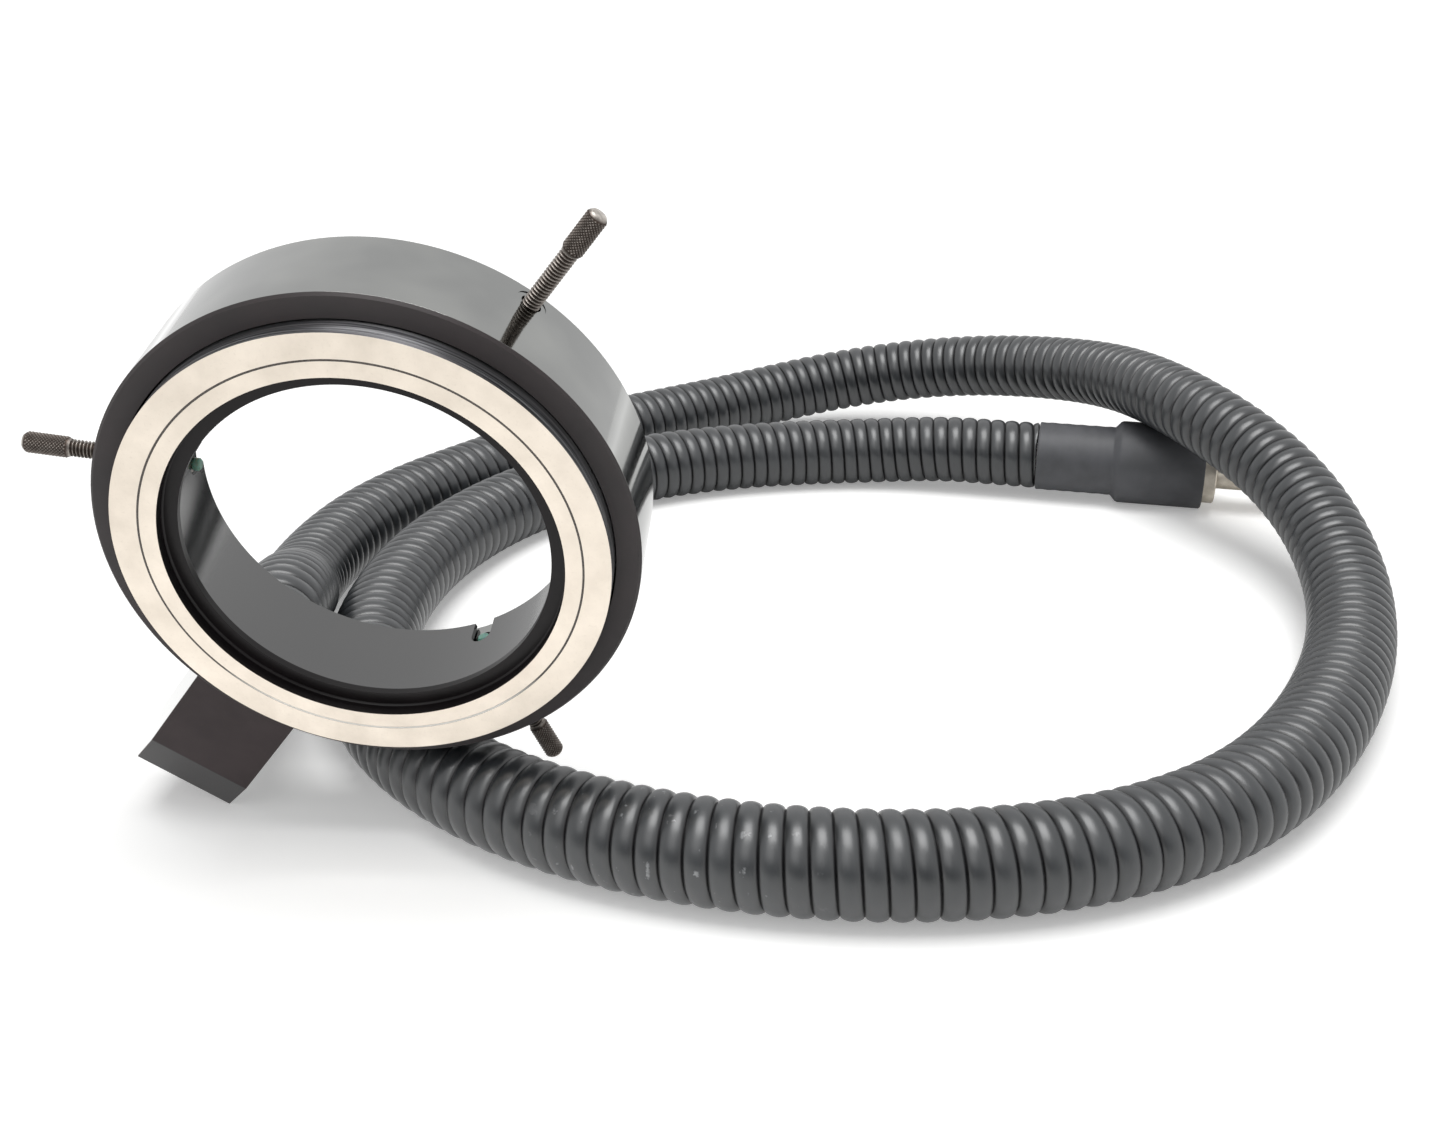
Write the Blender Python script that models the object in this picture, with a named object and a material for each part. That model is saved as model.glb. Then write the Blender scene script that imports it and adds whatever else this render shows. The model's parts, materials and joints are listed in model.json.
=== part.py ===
"""Ring light guide: a fibre-optic ring light on a ribbed hose, lying on a bench.

Three thumbscrews clamp the ring round a microscope objective. A bundle of glass
fibres runs from the connector through the hose and the outlet block, spreads round
a channel in the housing and ends as a thin ring of light in the ground front face.
"""
import math

import bmesh
import bpy
import numpy as np
from mathutils import Matrix, Vector

# Fits and facets
CLEARANCE = 0.0003          # gap kept between fitted pieces
SLIT_GAP = 0.00012          # gap on each side of the fibre in its slit
OVERRUN = 0.0020            # how far a cutter runs past what it cuts
RING_FACES = 64
ROD_FACES = 24
TUBE_FACES = 8
SLOT_FACES = 8              # round the front end of a slot

# The bore drives the ring: every other radius there is a wall or a gap further out.
BORE_RADIUS = 0.0342

# Ring housing. Depths run back along the bore from the ground front face.
RING_TILT = math.radians(13.2)
HOUSING_WALL = 0.00426      # round the nose collar
HOUSING_EDGE = 0.0006
CHANNEL_LENGTH = 0.0090     # channel for the fibres, behind the nose collar
BAND_LENGTH = 0.0086        # solid rear band that carries the thumbscrews
NOSE_STAND = 0.0040         # how far the nose rings stand in front of the housing

# Nose collar and bore sleeve, with the fibre slit between them
COLLAR_WALL = 0.0044
COLLAR_SEAT = 0.0035        # how deep the collar sits in the housing
COLLAR_REAR_WALL = 0.0022
COLLAR_EDGE = 0.0003
SLEEVE_FACE = 0.00277       # width of the sleeve's ground face
SLIT_WIDTH = 0.00054
SLIT_LENGTH = 0.0045
MOUTH_STEP = 0.00047        # how much narrower the mouth is than the bore
LIP_STEP = 0.00265          # how far the lip stands into the mouth
LIP_DEPTH = 0.0026
LIP_LENGTH = 0.0014
LIP_EASE = 0.0003
LIP_RELIEF = 0.0008
SLEEVE_WALL = 0.0008
SLEEVE_CONE = 0.0060
SLEEVE_EDGE = 0.0002
TIP_SLOT = 0.0040           # width of the slots in the sleeve's rear edge, for the tips

# Fibres laid in the channel, and the potting behind them
FAN_MARGIN = 0.0026
FAN_STEP = 0.0011
POTTING_LENGTH = 0.0020

# Thumbscrews. Clock angles turn anticlockwise from the right, seen from the front.
SCREW_COUNT = 3
FIRST_SCREW_CLOCK = math.radians(52.3)
SCREW_FROM_BACK = 0.0041
SHANK_STANDOFF = 0.00185    # at rest a shank ends this far outside the bore's wall
SCREW_BACKED_OUT = (0.0, -0.0015, 0.0001)
THREAD_RADIUS = 0.00155
THREAD_EASE = 0.0003
SHANK_LENGTH = 0.0211
HEAD_RADIUS = 0.00195
HEAD_LENGTH = 0.00825
HEAD_EDGE = 0.0006
SPOT_FACE_RADIUS = 0.00275
SPOT_FACE_DEPTH = 0.00012
TIP_RADIUS = 0.00115
TIP_STAND = 0.0012
TIP_EDGE = 0.0003
TIP_STEM_RADIUS = 0.0006
TIP_STEM_LENGTH = 0.0020

# Outlet block, opposite the first thumbscrew
BLOCK_CLOCK = math.radians(232.8)
BLOCK_SIDE_WALL = 0.00185   # walls of the block round the gland's hole
BLOCK_INNER_WALL = 0.0037
BLOCK_OUTER_WALL = 0.0097
BLOCK_SETBACK = 0.0020
BLOCK_BEVEL_LENGTH = 0.0096
BLOCK_BEVEL_DEPTH = 0.0036
BLOCK_EDGE = 0.0002
BLOCK_FLOOR = 0.0030        # what is left in front of the block's bore
NECK_RADIUS = 0.0030
NECK_GAP = 0.0006
NECK_BEND = 0.0050
NECK_POINTS = 6
NECK_SETBACK = 0.0004       # from the nose collar's back to the hole for the neck
BLOCK_SCREW_RADIUS = 0.00125
BLOCK_SCREW_GRIP = 0.0054
BLOCK_SCREW_PITCH = 0.0140
BLOCK_SCREW_SETBACK = 0.0035
BLOCK_SCREW_HEAD_RADIUS = 0.0022
BLOCK_SCREW_HEAD_LENGTH = 0.0010

# The fibre bundle, which sets the bores of the gland, the fitting and the ferrule
BUNDLE_RADIUS = 0.0038
BUNDLE_POINTS = 66

# Gland that the hose butts on, and the grub screw that holds it
GLAND_BORE_GAP = 0.0012
GLAND_WALL = 0.0027
GLAND_LIP = 0.0018
GLAND_FLANGE = 0.0024
GLAND_EDGE = 0.0004
GRUB_RADIUS = 0.0015
GRUB_LENGTH = 0.0060
GRUB_FROM_BACK = 0.0052
GRUB_SOCKET_RADIUS = 0.00075
GRUB_SOCKET_DEPTH = 0.0016

# Ribbed hose
HOSE_RADIUS = 0.00965
HOSE_GROOVE = 0.0012
HOSE_WALL = 0.00285
HOSE_STRAIGHT = 0.0040      # held straight by the gland
RIB_COUNT = 186
BORE_POINTS = 66

# Connector on the far end of the hose. Lengths run from the end of the hose.
CONNECTOR_HEADING = math.radians(-10.6)
SLEEVE_SMALL_RADIUS = 0.0099
SLEEVE_SMALL_LENGTH = 0.0222
SLEEVE_LARGE_RADIUS = 0.0118
SLEEVE_LARGE_LENGTH = 0.0250
SLEEVE_SHOULDER = 0.0012
SHRINK_WALL = 0.0009
SHRINK_EDGE = 0.0005
FLANGE_RADIUS = 0.00995
FLANGE_STAND = 0.0034
FITTING_EDGE = 0.0003
FITTING_BORE_GAP = 0.0008
FERRULE_BORE_GAP = 0.00045
FERRULE_WALL = 0.0014
FERRULE_STAND = 0.0214
FERRULE_SEAT = 0.0120
FERRULE_EDGE = 0.0004
WINDOW_THICKNESS = 0.0007
WINDOW_RECESS = 0.0001

# Where the hose lies. Its heights are the hose's centre line over the bench.
HOSE_END = (0.1486, 0.1992, 0.01185)
FREE_ROUTE = (
    (-0.0275, 0.0450, 0.0259),
    (-0.0313, 0.0650, 0.0210),
    (-0.0373, 0.0850, 0.0132),
    (-0.0398, 0.1060, 0.0102),
    (-0.0364, 0.1350, 0.0097),
    (-0.0247, 0.1635, 0.0097),
    (-0.0098, 0.1870, 0.0097),
    (0.0047, 0.2090, 0.0097),
    (0.0334, 0.2355, 0.0097),
    (0.0605, 0.2535, 0.0112),
    (0.0850, 0.2623, 0.0148),
    (0.1100, 0.2628, 0.0192),
    (0.1340, 0.2545, 0.0237),
    (0.1540, 0.2387, 0.0278),
    (0.1690, 0.2183, 0.0314),
    (0.1790, 0.1950, 0.0336),
    (0.1886, 0.1720, 0.0328),
    (0.1978, 0.1545, 0.0292),
    (0.2049, 0.1380, 0.0243),
    (0.2087, 0.1200, 0.0187),
    (0.2085, 0.0995, 0.0134),
    (0.2034, 0.0770, 0.0104),
    (0.1938, 0.0525, 0.0097),
    (0.1815, 0.0295, 0.0097),
    (0.1625, 0.0055, 0.0097),
    (0.1335, -0.0130, 0.0097),
    (0.0990, -0.0203, 0.0097),
    (0.0630, -0.0173, 0.0097),
    (0.0270, -0.0025, 0.0097),
    (-0.0025, 0.0280, 0.0097),
    (-0.0154, 0.0750, 0.0097),
    (-0.0075, 0.1350, 0.0097),
    (0.0120, 0.1685, 0.0097),
    (0.0390, 0.1900, 0.0097),
    (0.0700, 0.2020, 0.0097),
    (0.1020, 0.2063, 0.0102),
)

# Sizes worked out from those above
collar_length = NOSE_STAND + COLLAR_SEAT
band_front = collar_length + CHANNEL_LENGTH
housing_back = band_front + BAND_LENGTH
mouth_radius = BORE_RADIUS - MOUTH_STEP
lip_radius = mouth_radius - LIP_STEP
slit_inner = mouth_radius + SLEEVE_FACE
slit_middle = slit_inner + SLIT_WIDTH / 2
slit_outer = slit_inner + SLIT_WIDTH
collar_radius = slit_outer + COLLAR_WALL
tube_radius = BORE_RADIUS + SLEEVE_WALL
cone_end = SLIT_LENGTH + SLEEVE_CONE
housing_opening = collar_radius + CLEARANCE
housing_radius = housing_opening + HOUSING_WALL
fan_radius = housing_opening - FAN_MARGIN
fan_back = band_front - POTTING_LENGTH - 2 * CLEARANCE
screw_depth = housing_back - SCREW_FROM_BACK
screw_hole_radius = THREAD_RADIUS + CLEARANCE
block_front = NOSE_STAND + BLOCK_SETBACK
neck_hole_radius = NECK_RADIUS + NECK_GAP
neck_depth = collar_length + NECK_SETBACK + neck_hole_radius
neck_end_depth = neck_depth + NECK_BEND + CLEARANCE
block_screw_depth = band_front - BLOCK_SCREW_SETBACK
gland_bore_radius = BUNDLE_RADIUS + GLAND_BORE_GAP
gland_radius = gland_bore_radius + GLAND_WALL
gland_flange_radius = gland_radius + GLAND_LIP
gland_hole_radius = gland_radius + CLEARANCE
gland_reach = housing_radius + CLEARANCE + BLOCK_INNER_WALL + gland_hole_radius
block_reach = gland_reach + gland_hole_radius + BLOCK_OUTER_WALL
block_width = 2 * (gland_hole_radius + BLOCK_SIDE_WALL)
gland_front = neck_depth + neck_hole_radius
hose_start_depth = housing_back + GLAND_FLANGE + 2 * CLEARANCE
hose_diameter = 2 * HOSE_RADIUS
hose_bore_radius = HOSE_RADIUS - HOSE_WALL
fitting_bore_radius = BUNDLE_RADIUS + FITTING_BORE_GAP
ferrule_bore_radius = BUNDLE_RADIUS + FERRULE_BORE_GAP
ferrule_radius = ferrule_bore_radius + FERRULE_WALL
connector_body_end = SLEEVE_SMALL_LENGTH + SLEEVE_LARGE_LENGTH
flange_end = connector_body_end + FLANGE_STAND
ferrule_end = flange_end + FERRULE_STAND
ferrule_start = flange_end - FERRULE_SEAT

TO_DEPTH = Matrix.Rotation(-math.pi / 2, 4, 'X')     # turns local Z to run back along the bore


def clear_scene():
    for item in list(bpy.data.objects):
        bpy.data.objects.remove(item, do_unlink=True)


def make_material(name, colour, roughness, metallic=0.0):
    made = bpy.data.materials.new(name)
    made.use_nodes = True
    shader = made.node_tree.nodes["Principled BSDF"]
    shader.inputs["Base Color"].default_value = (*colour, 1.0)
    shader.inputs["Roughness"].default_value = roughness
    shader.inputs["Metallic"].default_value = metallic
    return made


def add_object(name, mesh, material=None, parent=None, place=Matrix()):
    item = bpy.data.objects.new(name, mesh)
    bpy.context.scene.collection.objects.link(item)
    item.parent = parent
    item.matrix_local = place
    if material:
        mesh.materials.append(material)
    return item


def mesh_from(name, work, smooth_angle=math.radians(35)):
    bmesh.ops.recalc_face_normals(work, faces=work.faces)
    mesh = bpy.data.meshes.new(name)
    work.to_mesh(mesh)
    work.free()
    mesh.shade_smooth()
    mesh.set_sharp_from_angle(angle=smooth_angle)
    return mesh


def turned_mesh(name, outline, faces, is_ring):
    """Turn an outline of (radius, height) points about local Z.

    A ring's outline is a closed loop. Any other outline starts and ends on the axis.
    """
    work = bmesh.new()
    rows = []
    for radius, height in outline:
        if radius == 0:
            rows.append([work.verts.new((0, 0, height))] * faces)
            continue
        row = []
        for step in range(faces):
            angle = 2 * math.pi * step / faces
            row.append(work.verts.new((radius * math.cos(angle), radius * math.sin(angle), height)))
        rows.append(row)
    pairs = list(zip(rows, rows[1:]))
    if is_ring:
        pairs.append((rows[-1], rows[0]))
    for lower, upper in pairs:
        for step in range(faces):
            after = (step + 1) % faces
            corners = []
            for corner in (lower[step], lower[after], upper[after], upper[step]):
                if corner not in corners:
                    corners.append(corner)
            work.faces.new(corners)
    return mesh_from(name, work)


def turned_ring(name, outline, material=None, parent=None, place=TO_DEPTH, faces=RING_FACES):
    return add_object(name, turned_mesh(name, outline, faces, True), material, parent, place)


def turned_rod(name, outline, material=None, parent=None, place=Matrix(), faces=ROD_FACES):
    return add_object(name, turned_mesh(name, outline, faces, False), material, parent, place)


def as_cutter(item):
    item.hide_render = True
    item.display_type = 'WIRE'
    return item


def cut(target, cutter):
    step = target.modifiers.new("cut " + cutter.name, 'BOOLEAN')
    step.operation = 'DIFFERENCE'
    step.solver = 'EXACT'
    step.object = cutter


def radial_place(clock, depth):
    """Local Z points out at a clock angle, local Y runs back and local X turns clockwise."""
    return Matrix.Translation((0, depth, 0)) @ Matrix.Rotation(math.pi / 2 - clock, 4, 'Y')


def plain_rod(radius, start, end):
    return ((0, end), (radius, end), (radius, start), (0, start))


def make_housing(head, black):
    edge = HOUSING_EDGE
    outline = (
        (housing_opening, NOSE_STAND),
        (housing_radius - edge, NOSE_STAND),
        (housing_radius, NOSE_STAND + edge),
        (housing_radius, housing_back - edge),
        (housing_radius - edge, housing_back),
        (tube_radius + CLEARANCE, housing_back),
        (tube_radius + CLEARANCE, band_front),
        (housing_opening, band_front),
    )
    return turned_ring("ring_housing", outline, black, head)


def make_sleeve(head, black):
    outline = (
        (mouth_radius, 0),
        (slit_inner, 0),
        (slit_inner, SLIT_LENGTH),
        (tube_radius, cone_end),
        (tube_radius, housing_back),
        (BORE_RADIUS + SLEEVE_EDGE, housing_back),
        (BORE_RADIUS, housing_back - SLEEVE_EDGE),
        (BORE_RADIUS, LIP_DEPTH + LIP_LENGTH + LIP_RELIEF),
        (lip_radius, LIP_DEPTH + LIP_LENGTH),
        (lip_radius, LIP_DEPTH),
        (mouth_radius - LIP_EASE, LIP_DEPTH),
        (mouth_radius, LIP_DEPTH - LIP_EASE),
    )
    return turned_ring("bore_sleeve", outline, black, head)


def make_collar(head, black):
    outline = (
        (slit_outer, 0),
        (collar_radius - COLLAR_EDGE, 0),
        (collar_radius, COLLAR_EDGE),
        (collar_radius, collar_length),
        (collar_radius - COLLAR_REAR_WALL, collar_length),
        (slit_outer, SLIT_LENGTH),
    )
    return turned_ring("nose_collar", outline, black, head)


def make_fibres(head, glass, epoxy):
    """The ring of fibre ends in the slit, the fan behind it and the potting behind that."""
    thin = SLIT_WIDTH / 2 - SLIT_GAP
    ends = ((slit_middle - thin, 0), (slit_middle + thin, 0),
            (slit_middle + thin, SLIT_LENGTH), (slit_middle - thin, SLIT_LENGTH))
    turned_ring("fibre_annulus", ends, glass, head)
    fan_front = SLIT_LENGTH + 2 * CLEARANCE
    fan = (
        (slit_middle - thin, fan_front),
        (slit_middle + thin, fan_front),
        (collar_radius - COLLAR_REAR_WALL - 2 * CLEARANCE, collar_length),
        (fan_radius, collar_length + FAN_STEP),
        (fan_radius, fan_back),
        (tube_radius + CLEARANCE, fan_back),
        (tube_radius + CLEARANCE, cone_end + CLEARANCE),
    )
    turned_ring("fibre_fan", fan, glass, head)
    potting = (
        (tube_radius + CLEARANCE, fan_back + CLEARANCE),
        (fan_radius, fan_back + CLEARANCE),
        (fan_radius, band_front - CLEARANCE),
        (tube_radius + CLEARANCE, band_front - CLEARANCE),
    )
    turned_ring("potting_ring", potting, epoxy, head)


def make_slot(name, head, place):
    """A slot round a screw's axis, with a round front end, that is open to the back."""
    half = TIP_SLOT / 2
    open_end = SCREW_FROM_BACK + OVERRUN
    edge = [(half, open_end), (-half, open_end)]
    for step in range(SLOT_FACES + 1):
        turn = math.pi * step / SLOT_FACES
        edge.append((-half * math.cos(turn), -half * math.sin(turn)))
    work = bmesh.new()
    profile = work.faces.new([work.verts.new((x, y, tube_radius - OVERRUN)) for x, y in edge])
    swept = bmesh.ops.extrude_face_region(work, geom=[profile])["geom"]
    moved = [item for item in swept if isinstance(item, bmesh.types.BMVert)]
    bmesh.ops.translate(work, verts=moved, vec=(0, 0, 2 * OVERRUN))
    return add_object(name, mesh_from(name, work), None, head, place)


def make_thumbscrew(number, head, steel, nylon, housing, sleeve):
    """One thumbscrew with its nylon tip, its hole through the housing and its slot in the sleeve."""
    clock = FIRST_SCREW_CLOCK + 2 * math.pi * (number - 1) / SCREW_COUNT
    place = radial_place(clock, screw_depth)
    shank_start = BORE_RADIUS + SHANK_STANDOFF + SCREW_BACKED_OUT[number - 1]
    seat = place @ Matrix.Translation((0, 0, shank_start))
    total = SHANK_LENGTH + HEAD_LENGTH
    socket = TIP_STEM_RADIUS + CLEARANCE
    screw = (
        (0, total),
        (HEAD_RADIUS - HEAD_EDGE, total),
        (HEAD_RADIUS, total - HEAD_EDGE),
        (HEAD_RADIUS, SHANK_LENGTH + HEAD_EDGE),
        (THREAD_RADIUS, SHANK_LENGTH),
        (THREAD_RADIUS, THREAD_EASE),
        (THREAD_RADIUS - THREAD_EASE, 0),
        (socket, 0),
        (socket, TIP_STEM_LENGTH),
        (0, TIP_STEM_LENGTH),
    )
    turned_rod(f"thumbscrew_{number}", screw, steel, head, seat)
    tip = (
        (0, TIP_STEM_LENGTH - CLEARANCE),
        (TIP_STEM_RADIUS, TIP_STEM_LENGTH - CLEARANCE),
        (TIP_STEM_RADIUS, -CLEARANCE),
        (TIP_RADIUS, -CLEARANCE),
        (TIP_RADIUS, TIP_EDGE - TIP_STAND - CLEARANCE),
        (TIP_RADIUS - TIP_EDGE, -TIP_STAND - CLEARANCE),
        (0, -TIP_STAND - CLEARANCE),
    )
    turned_rod(f"thumbscrew_tip_{number}", tip, nylon, head, seat)
    spot_face = housing_radius - SPOT_FACE_DEPTH
    drill = (
        (0, housing_radius + OVERRUN),
        (SPOT_FACE_RADIUS, housing_radius + OVERRUN),
        (SPOT_FACE_RADIUS, spot_face),
        (screw_hole_radius, spot_face),
        (screw_hole_radius, tube_radius - OVERRUN),
        (0, tube_radius - OVERRUN),
    )
    cut(housing, as_cutter(turned_rod(f"screw_drill_{number}", drill, None, head, place)))
    cut(sleeve, as_cutter(make_slot(f"tip_slot_cut_{number}", head, place)))


def make_block(head, black, steel, housing):
    """The outlet block, drilled from its back and from its saddle, with its two screws."""
    place = radial_place(BLOCK_CLOCK, 0)
    side_view = (
        (housing_radius - OVERRUN, block_front),
        (block_reach - BLOCK_BEVEL_LENGTH, block_front),
        (block_reach, block_front + BLOCK_BEVEL_DEPTH),
        (block_reach, housing_back),
        (housing_radius - OVERRUN, housing_back),
    )
    work = bmesh.new()
    near = [work.verts.new((-block_width / 2, depth, reach)) for reach, depth in side_view]
    profile = work.faces.new(near)
    swept = bmesh.ops.extrude_face_region(work, geom=[profile])["geom"]
    moved = [item for item in swept if isinstance(item, bmesh.types.BMVert)]
    bmesh.ops.translate(work, verts=moved, vec=(block_width, 0, 0))
    block = add_object("outlet_block", mesh_from("outlet_block", work), black, head, place)
    soften = block.modifiers.new("eased edges", 'BEVEL')
    soften.width = BLOCK_EDGE
    soften.segments = 1
    soften.limit_method = 'ANGLE'
    soften.angle_limit = math.radians(10)

    saddle = plain_rod(housing_radius + CLEARANCE, block_front - OVERRUN, housing_back + OVERRUN)
    cut(block, as_cutter(turned_rod("saddle_cut", saddle, None, head, TO_DEPTH, RING_FACES)))
    axis = place @ Matrix.Translation((0, 0, gland_reach)) @ TO_DEPTH
    bore = plain_rod(gland_hole_radius, block_front + BLOCK_FLOOR, housing_back + OVERRUN)
    cut(block, as_cutter(turned_rod("block_bore_cut", bore, None, head, axis)))
    neck_place = radial_place(BLOCK_CLOCK, neck_depth)
    neck_hole = plain_rod(neck_hole_radius, housing_opening - OVERRUN, gland_reach)
    neck_cutter = as_cutter(turned_rod("neck_cut", neck_hole, None, head, neck_place))
    cut(block, neck_cutter)
    cut(housing, neck_cutter)

    # The screw heads sit in the channel, against the housing's curved wall.
    head_corner = BLOCK_SCREW_PITCH / 2 + BLOCK_SCREW_HEAD_RADIUS
    seat = math.sqrt(housing_opening ** 2 - head_corner ** 2) - CLEARANCE
    wall_end = housing_radius + BLOCK_SCREW_GRIP
    for number, side in ((1, -1), (2, 1)):
        offset = Matrix.Translation((side * BLOCK_SCREW_PITCH / 2, 0, 0))
        screw_place = radial_place(BLOCK_CLOCK, block_screw_depth) @ offset
        outline = (
            (0, wall_end),
            (BLOCK_SCREW_RADIUS, wall_end),
            (BLOCK_SCREW_RADIUS, seat),
            (BLOCK_SCREW_HEAD_RADIUS, seat),
            (BLOCK_SCREW_HEAD_RADIUS, seat - BLOCK_SCREW_HEAD_LENGTH),
            (0, seat - BLOCK_SCREW_HEAD_LENGTH),
        )
        turned_rod(f"block_screw_{number}", outline, steel, head, screw_place)
        hole = plain_rod(BLOCK_SCREW_RADIUS + CLEARANCE, seat - OVERRUN, wall_end + CLEARANCE)
        hole_cutter = as_cutter(turned_rod(f"block_screw_cut_{number}", hole, None, head, screw_place))
        cut(block, hole_cutter)
        cut(housing, hole_cutter)
    return block, axis


def make_gland(head, axis, block, metal, steel):
    """The turned gland in the block's back, and the grub screw that locks it."""
    flange_start = housing_back + CLEARANCE
    outline = (
        (gland_bore_radius, gland_front),
        (gland_radius, gland_front),
        (gland_radius, flange_start),
        (gland_flange_radius, flange_start),
        (gland_flange_radius, flange_start + GLAND_FLANGE - GLAND_EDGE),
        (gland_flange_radius - GLAND_EDGE, flange_start + GLAND_FLANGE),
        (gland_bore_radius, flange_start + GLAND_FLANGE),
    )
    turned_ring("hose_gland", outline, metal, head, axis, ROD_FACES)
    place = radial_place(BLOCK_CLOCK, housing_back - GRUB_FROM_BACK)
    start = gland_reach + gland_radius + CLEARANCE
    end = start + GRUB_LENGTH
    grub = (
        (0, end - GRUB_SOCKET_DEPTH),
        (GRUB_SOCKET_RADIUS, end - GRUB_SOCKET_DEPTH),
        (GRUB_SOCKET_RADIUS, end),
        (GRUB_RADIUS, end),
        (GRUB_RADIUS, start),
        (0, start),
    )
    turned_rod("gland_grub_screw", grub, steel, head, place)
    hole = plain_rod(GRUB_RADIUS + CLEARANCE, gland_reach + gland_radius / 2, block_reach + OVERRUN)
    cut(block, as_cutter(turned_rod("grub_cut", hole, None, head, place)))


def smooth_path(points, first_heading, last_heading, count):
    """Points, evenly spaced, on the smooth cubic curve through the given points."""
    knots = np.array([tuple(point) for point in points])
    spans = np.linalg.norm(np.diff(knots, axis=0), axis=1)
    size = len(knots)
    system = np.zeros((size, size))
    right = np.zeros((size, 3))
    system[0, 0] = system[-1, -1] = 1
    right[0] = tuple(first_heading)
    right[-1] = tuple(last_heading)
    for i in range(1, size - 1):
        before, after = spans[i - 1], spans[i]
        system[i, i - 1:i + 2] = (after, 2 * (before + after), before)
        rise = before / after * (knots[i + 1] - knots[i]) + after / before * (knots[i] - knots[i - 1])
        right[i] = 3 * rise
    slopes = np.linalg.solve(system, right)
    fine = []
    steps = 60
    for i, span in enumerate(spans):
        for step in range(steps + (i == size - 2)):
            t = step / steps
            fine.append((2 * t ** 3 - 3 * t ** 2 + 1) * knots[i]
                        + (t ** 3 - 2 * t ** 2 + t) * span * slopes[i]
                        + (3 * t ** 2 - 2 * t ** 3) * knots[i + 1]
                        + (t ** 3 - t ** 2) * span * slopes[i + 1])
    return even_points(np.array(fine), count)


def even_points(line, count):
    """Points at equal steps along a line of close points."""
    lengths = np.concatenate(([0], np.cumsum(np.linalg.norm(np.diff(line, axis=0), axis=1))))
    wanted = np.linspace(0, lengths[-1], count)
    return np.column_stack([np.interp(wanted, lengths, line[:, axis]) for axis in range(3)])


def path_length(line):
    return float(np.linalg.norm(np.diff(line, axis=0), axis=1).sum())


def tube_object(name, points, radii, material=None):
    """A closed faceted tube along points, with a radius at each point."""
    curve = bpy.data.curves.new(name, 'CURVE')
    curve.dimensions = '3D'
    curve.bevel_depth = 1
    curve.bevel_resolution = (TUBE_FACES - 4) // 2      # four faces, and two more for each step
    curve.use_fill_caps = True
    spline = curve.splines.new('POLY')
    spline.points.add(len(points) - 1)
    for place, point, radius in zip(spline.points, points, radii):
        place.co = (*point, 1)
        place.radius = radius
    guide = bpy.data.objects.new(name + "_guide", curve)
    bpy.context.scene.collection.objects.link(guide)
    mesh = bpy.data.meshes.new_from_object(guide.evaluated_get(bpy.context.evaluated_depsgraph_get()))
    bpy.data.objects.remove(guide)
    bpy.data.curves.remove(curve)
    work = bmesh.new()
    work.from_mesh(mesh)
    bmesh.ops.remove_doubles(work, verts=work.verts, dist=CLEARANCE / 10)
    bpy.data.meshes.remove(mesh)
    return add_object(name, mesh_from(name, work), material)


def least_gap(line, radius):
    """The least clear distance between stretches of a tube that aren't neighbours."""
    near = int(math.ceil(3 * radius / (path_length(line) / (len(line) - 1))))
    apart = np.linalg.norm(line[:, None] - line[None], axis=2)
    index = np.arange(len(line))
    apart[abs(index[:, None] - index[None]) <= near] = np.inf
    return float(apart.min()) - 2 * radius


def make_hose(start, heading, end_heading, rubber, glass):
    """The ribbed hose with its bore, and the fibre bundle through it."""
    end = Vector(HOSE_END)
    route = [start + heading * HOSE_STRAIGHT]
    route += [Vector(point) for point in FREE_ROUTE]
    route.append(end - end_heading * hose_diameter)
    middle = smooth_path(route, heading, end_heading, RIB_COUNT * 10)
    line = np.vstack([tuple(start), middle, tuple(end)])
    line = even_points(line, RIB_COUNT * 20)
    length = path_length(line)

    rib_points = even_points(line, 2 * RIB_COUNT + 1)
    radii = [HOSE_RADIUS - HOSE_GROOVE * (i % 2) for i in range(len(rib_points))]
    hose = tube_object("hose", rib_points, radii, rubber)
    overrun = 2 * hose_diameter / BORE_POINTS
    bore_line = even_points(line, BORE_POINTS)
    bore_line[0] -= np.array(tuple(heading)) * overrun
    bore_line[-1] += np.array(tuple(end_heading)) * overrun
    bore = tube_object("hose_bore_cut", bore_line, [hose_bore_radius] * BORE_POINTS)
    cut(hose, as_cutter(bore))

    inlet = start - heading * (hose_start_depth - neck_end_depth - CLEARANCE)
    outlet = end + end_heading * (ferrule_end - WINDOW_RECESS - WINDOW_THICKNESS - CLEARANCE)
    through = np.vstack([tuple(inlet), even_points(line, BUNDLE_POINTS), tuple(outlet)])
    tube_object("fibre_bundle", through, [BUNDLE_RADIUS] * len(through), glass)
    print(f"hose length {length:.4f} m, least gap to itself {least_gap(rib_points, HOSE_RADIUS):.4f} m")
    return length


def make_neck(head, glass):
    """The fibres from the fan, out through the housing's wall and back into the block."""
    place = radial_place(BLOCK_CLOCK, 0)
    start = fan_radius + CLEARANCE
    points = [(0, neck_depth, start), (0, neck_depth, (start + gland_reach - NECK_BEND) / 2)]
    for step in range(NECK_POINTS + 1):
        turn = math.pi / 2 * step / NECK_POINTS
        points.append((0, neck_depth + NECK_BEND * (1 - math.cos(turn)),
                       gland_reach - NECK_BEND + NECK_BEND * math.sin(turn)))
    points.append((0, neck_end_depth, gland_reach))
    neck = tube_object("fibre_neck", points, [NECK_RADIUS] * len(points), glass)
    neck.parent = head
    neck.matrix_local = place


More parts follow.
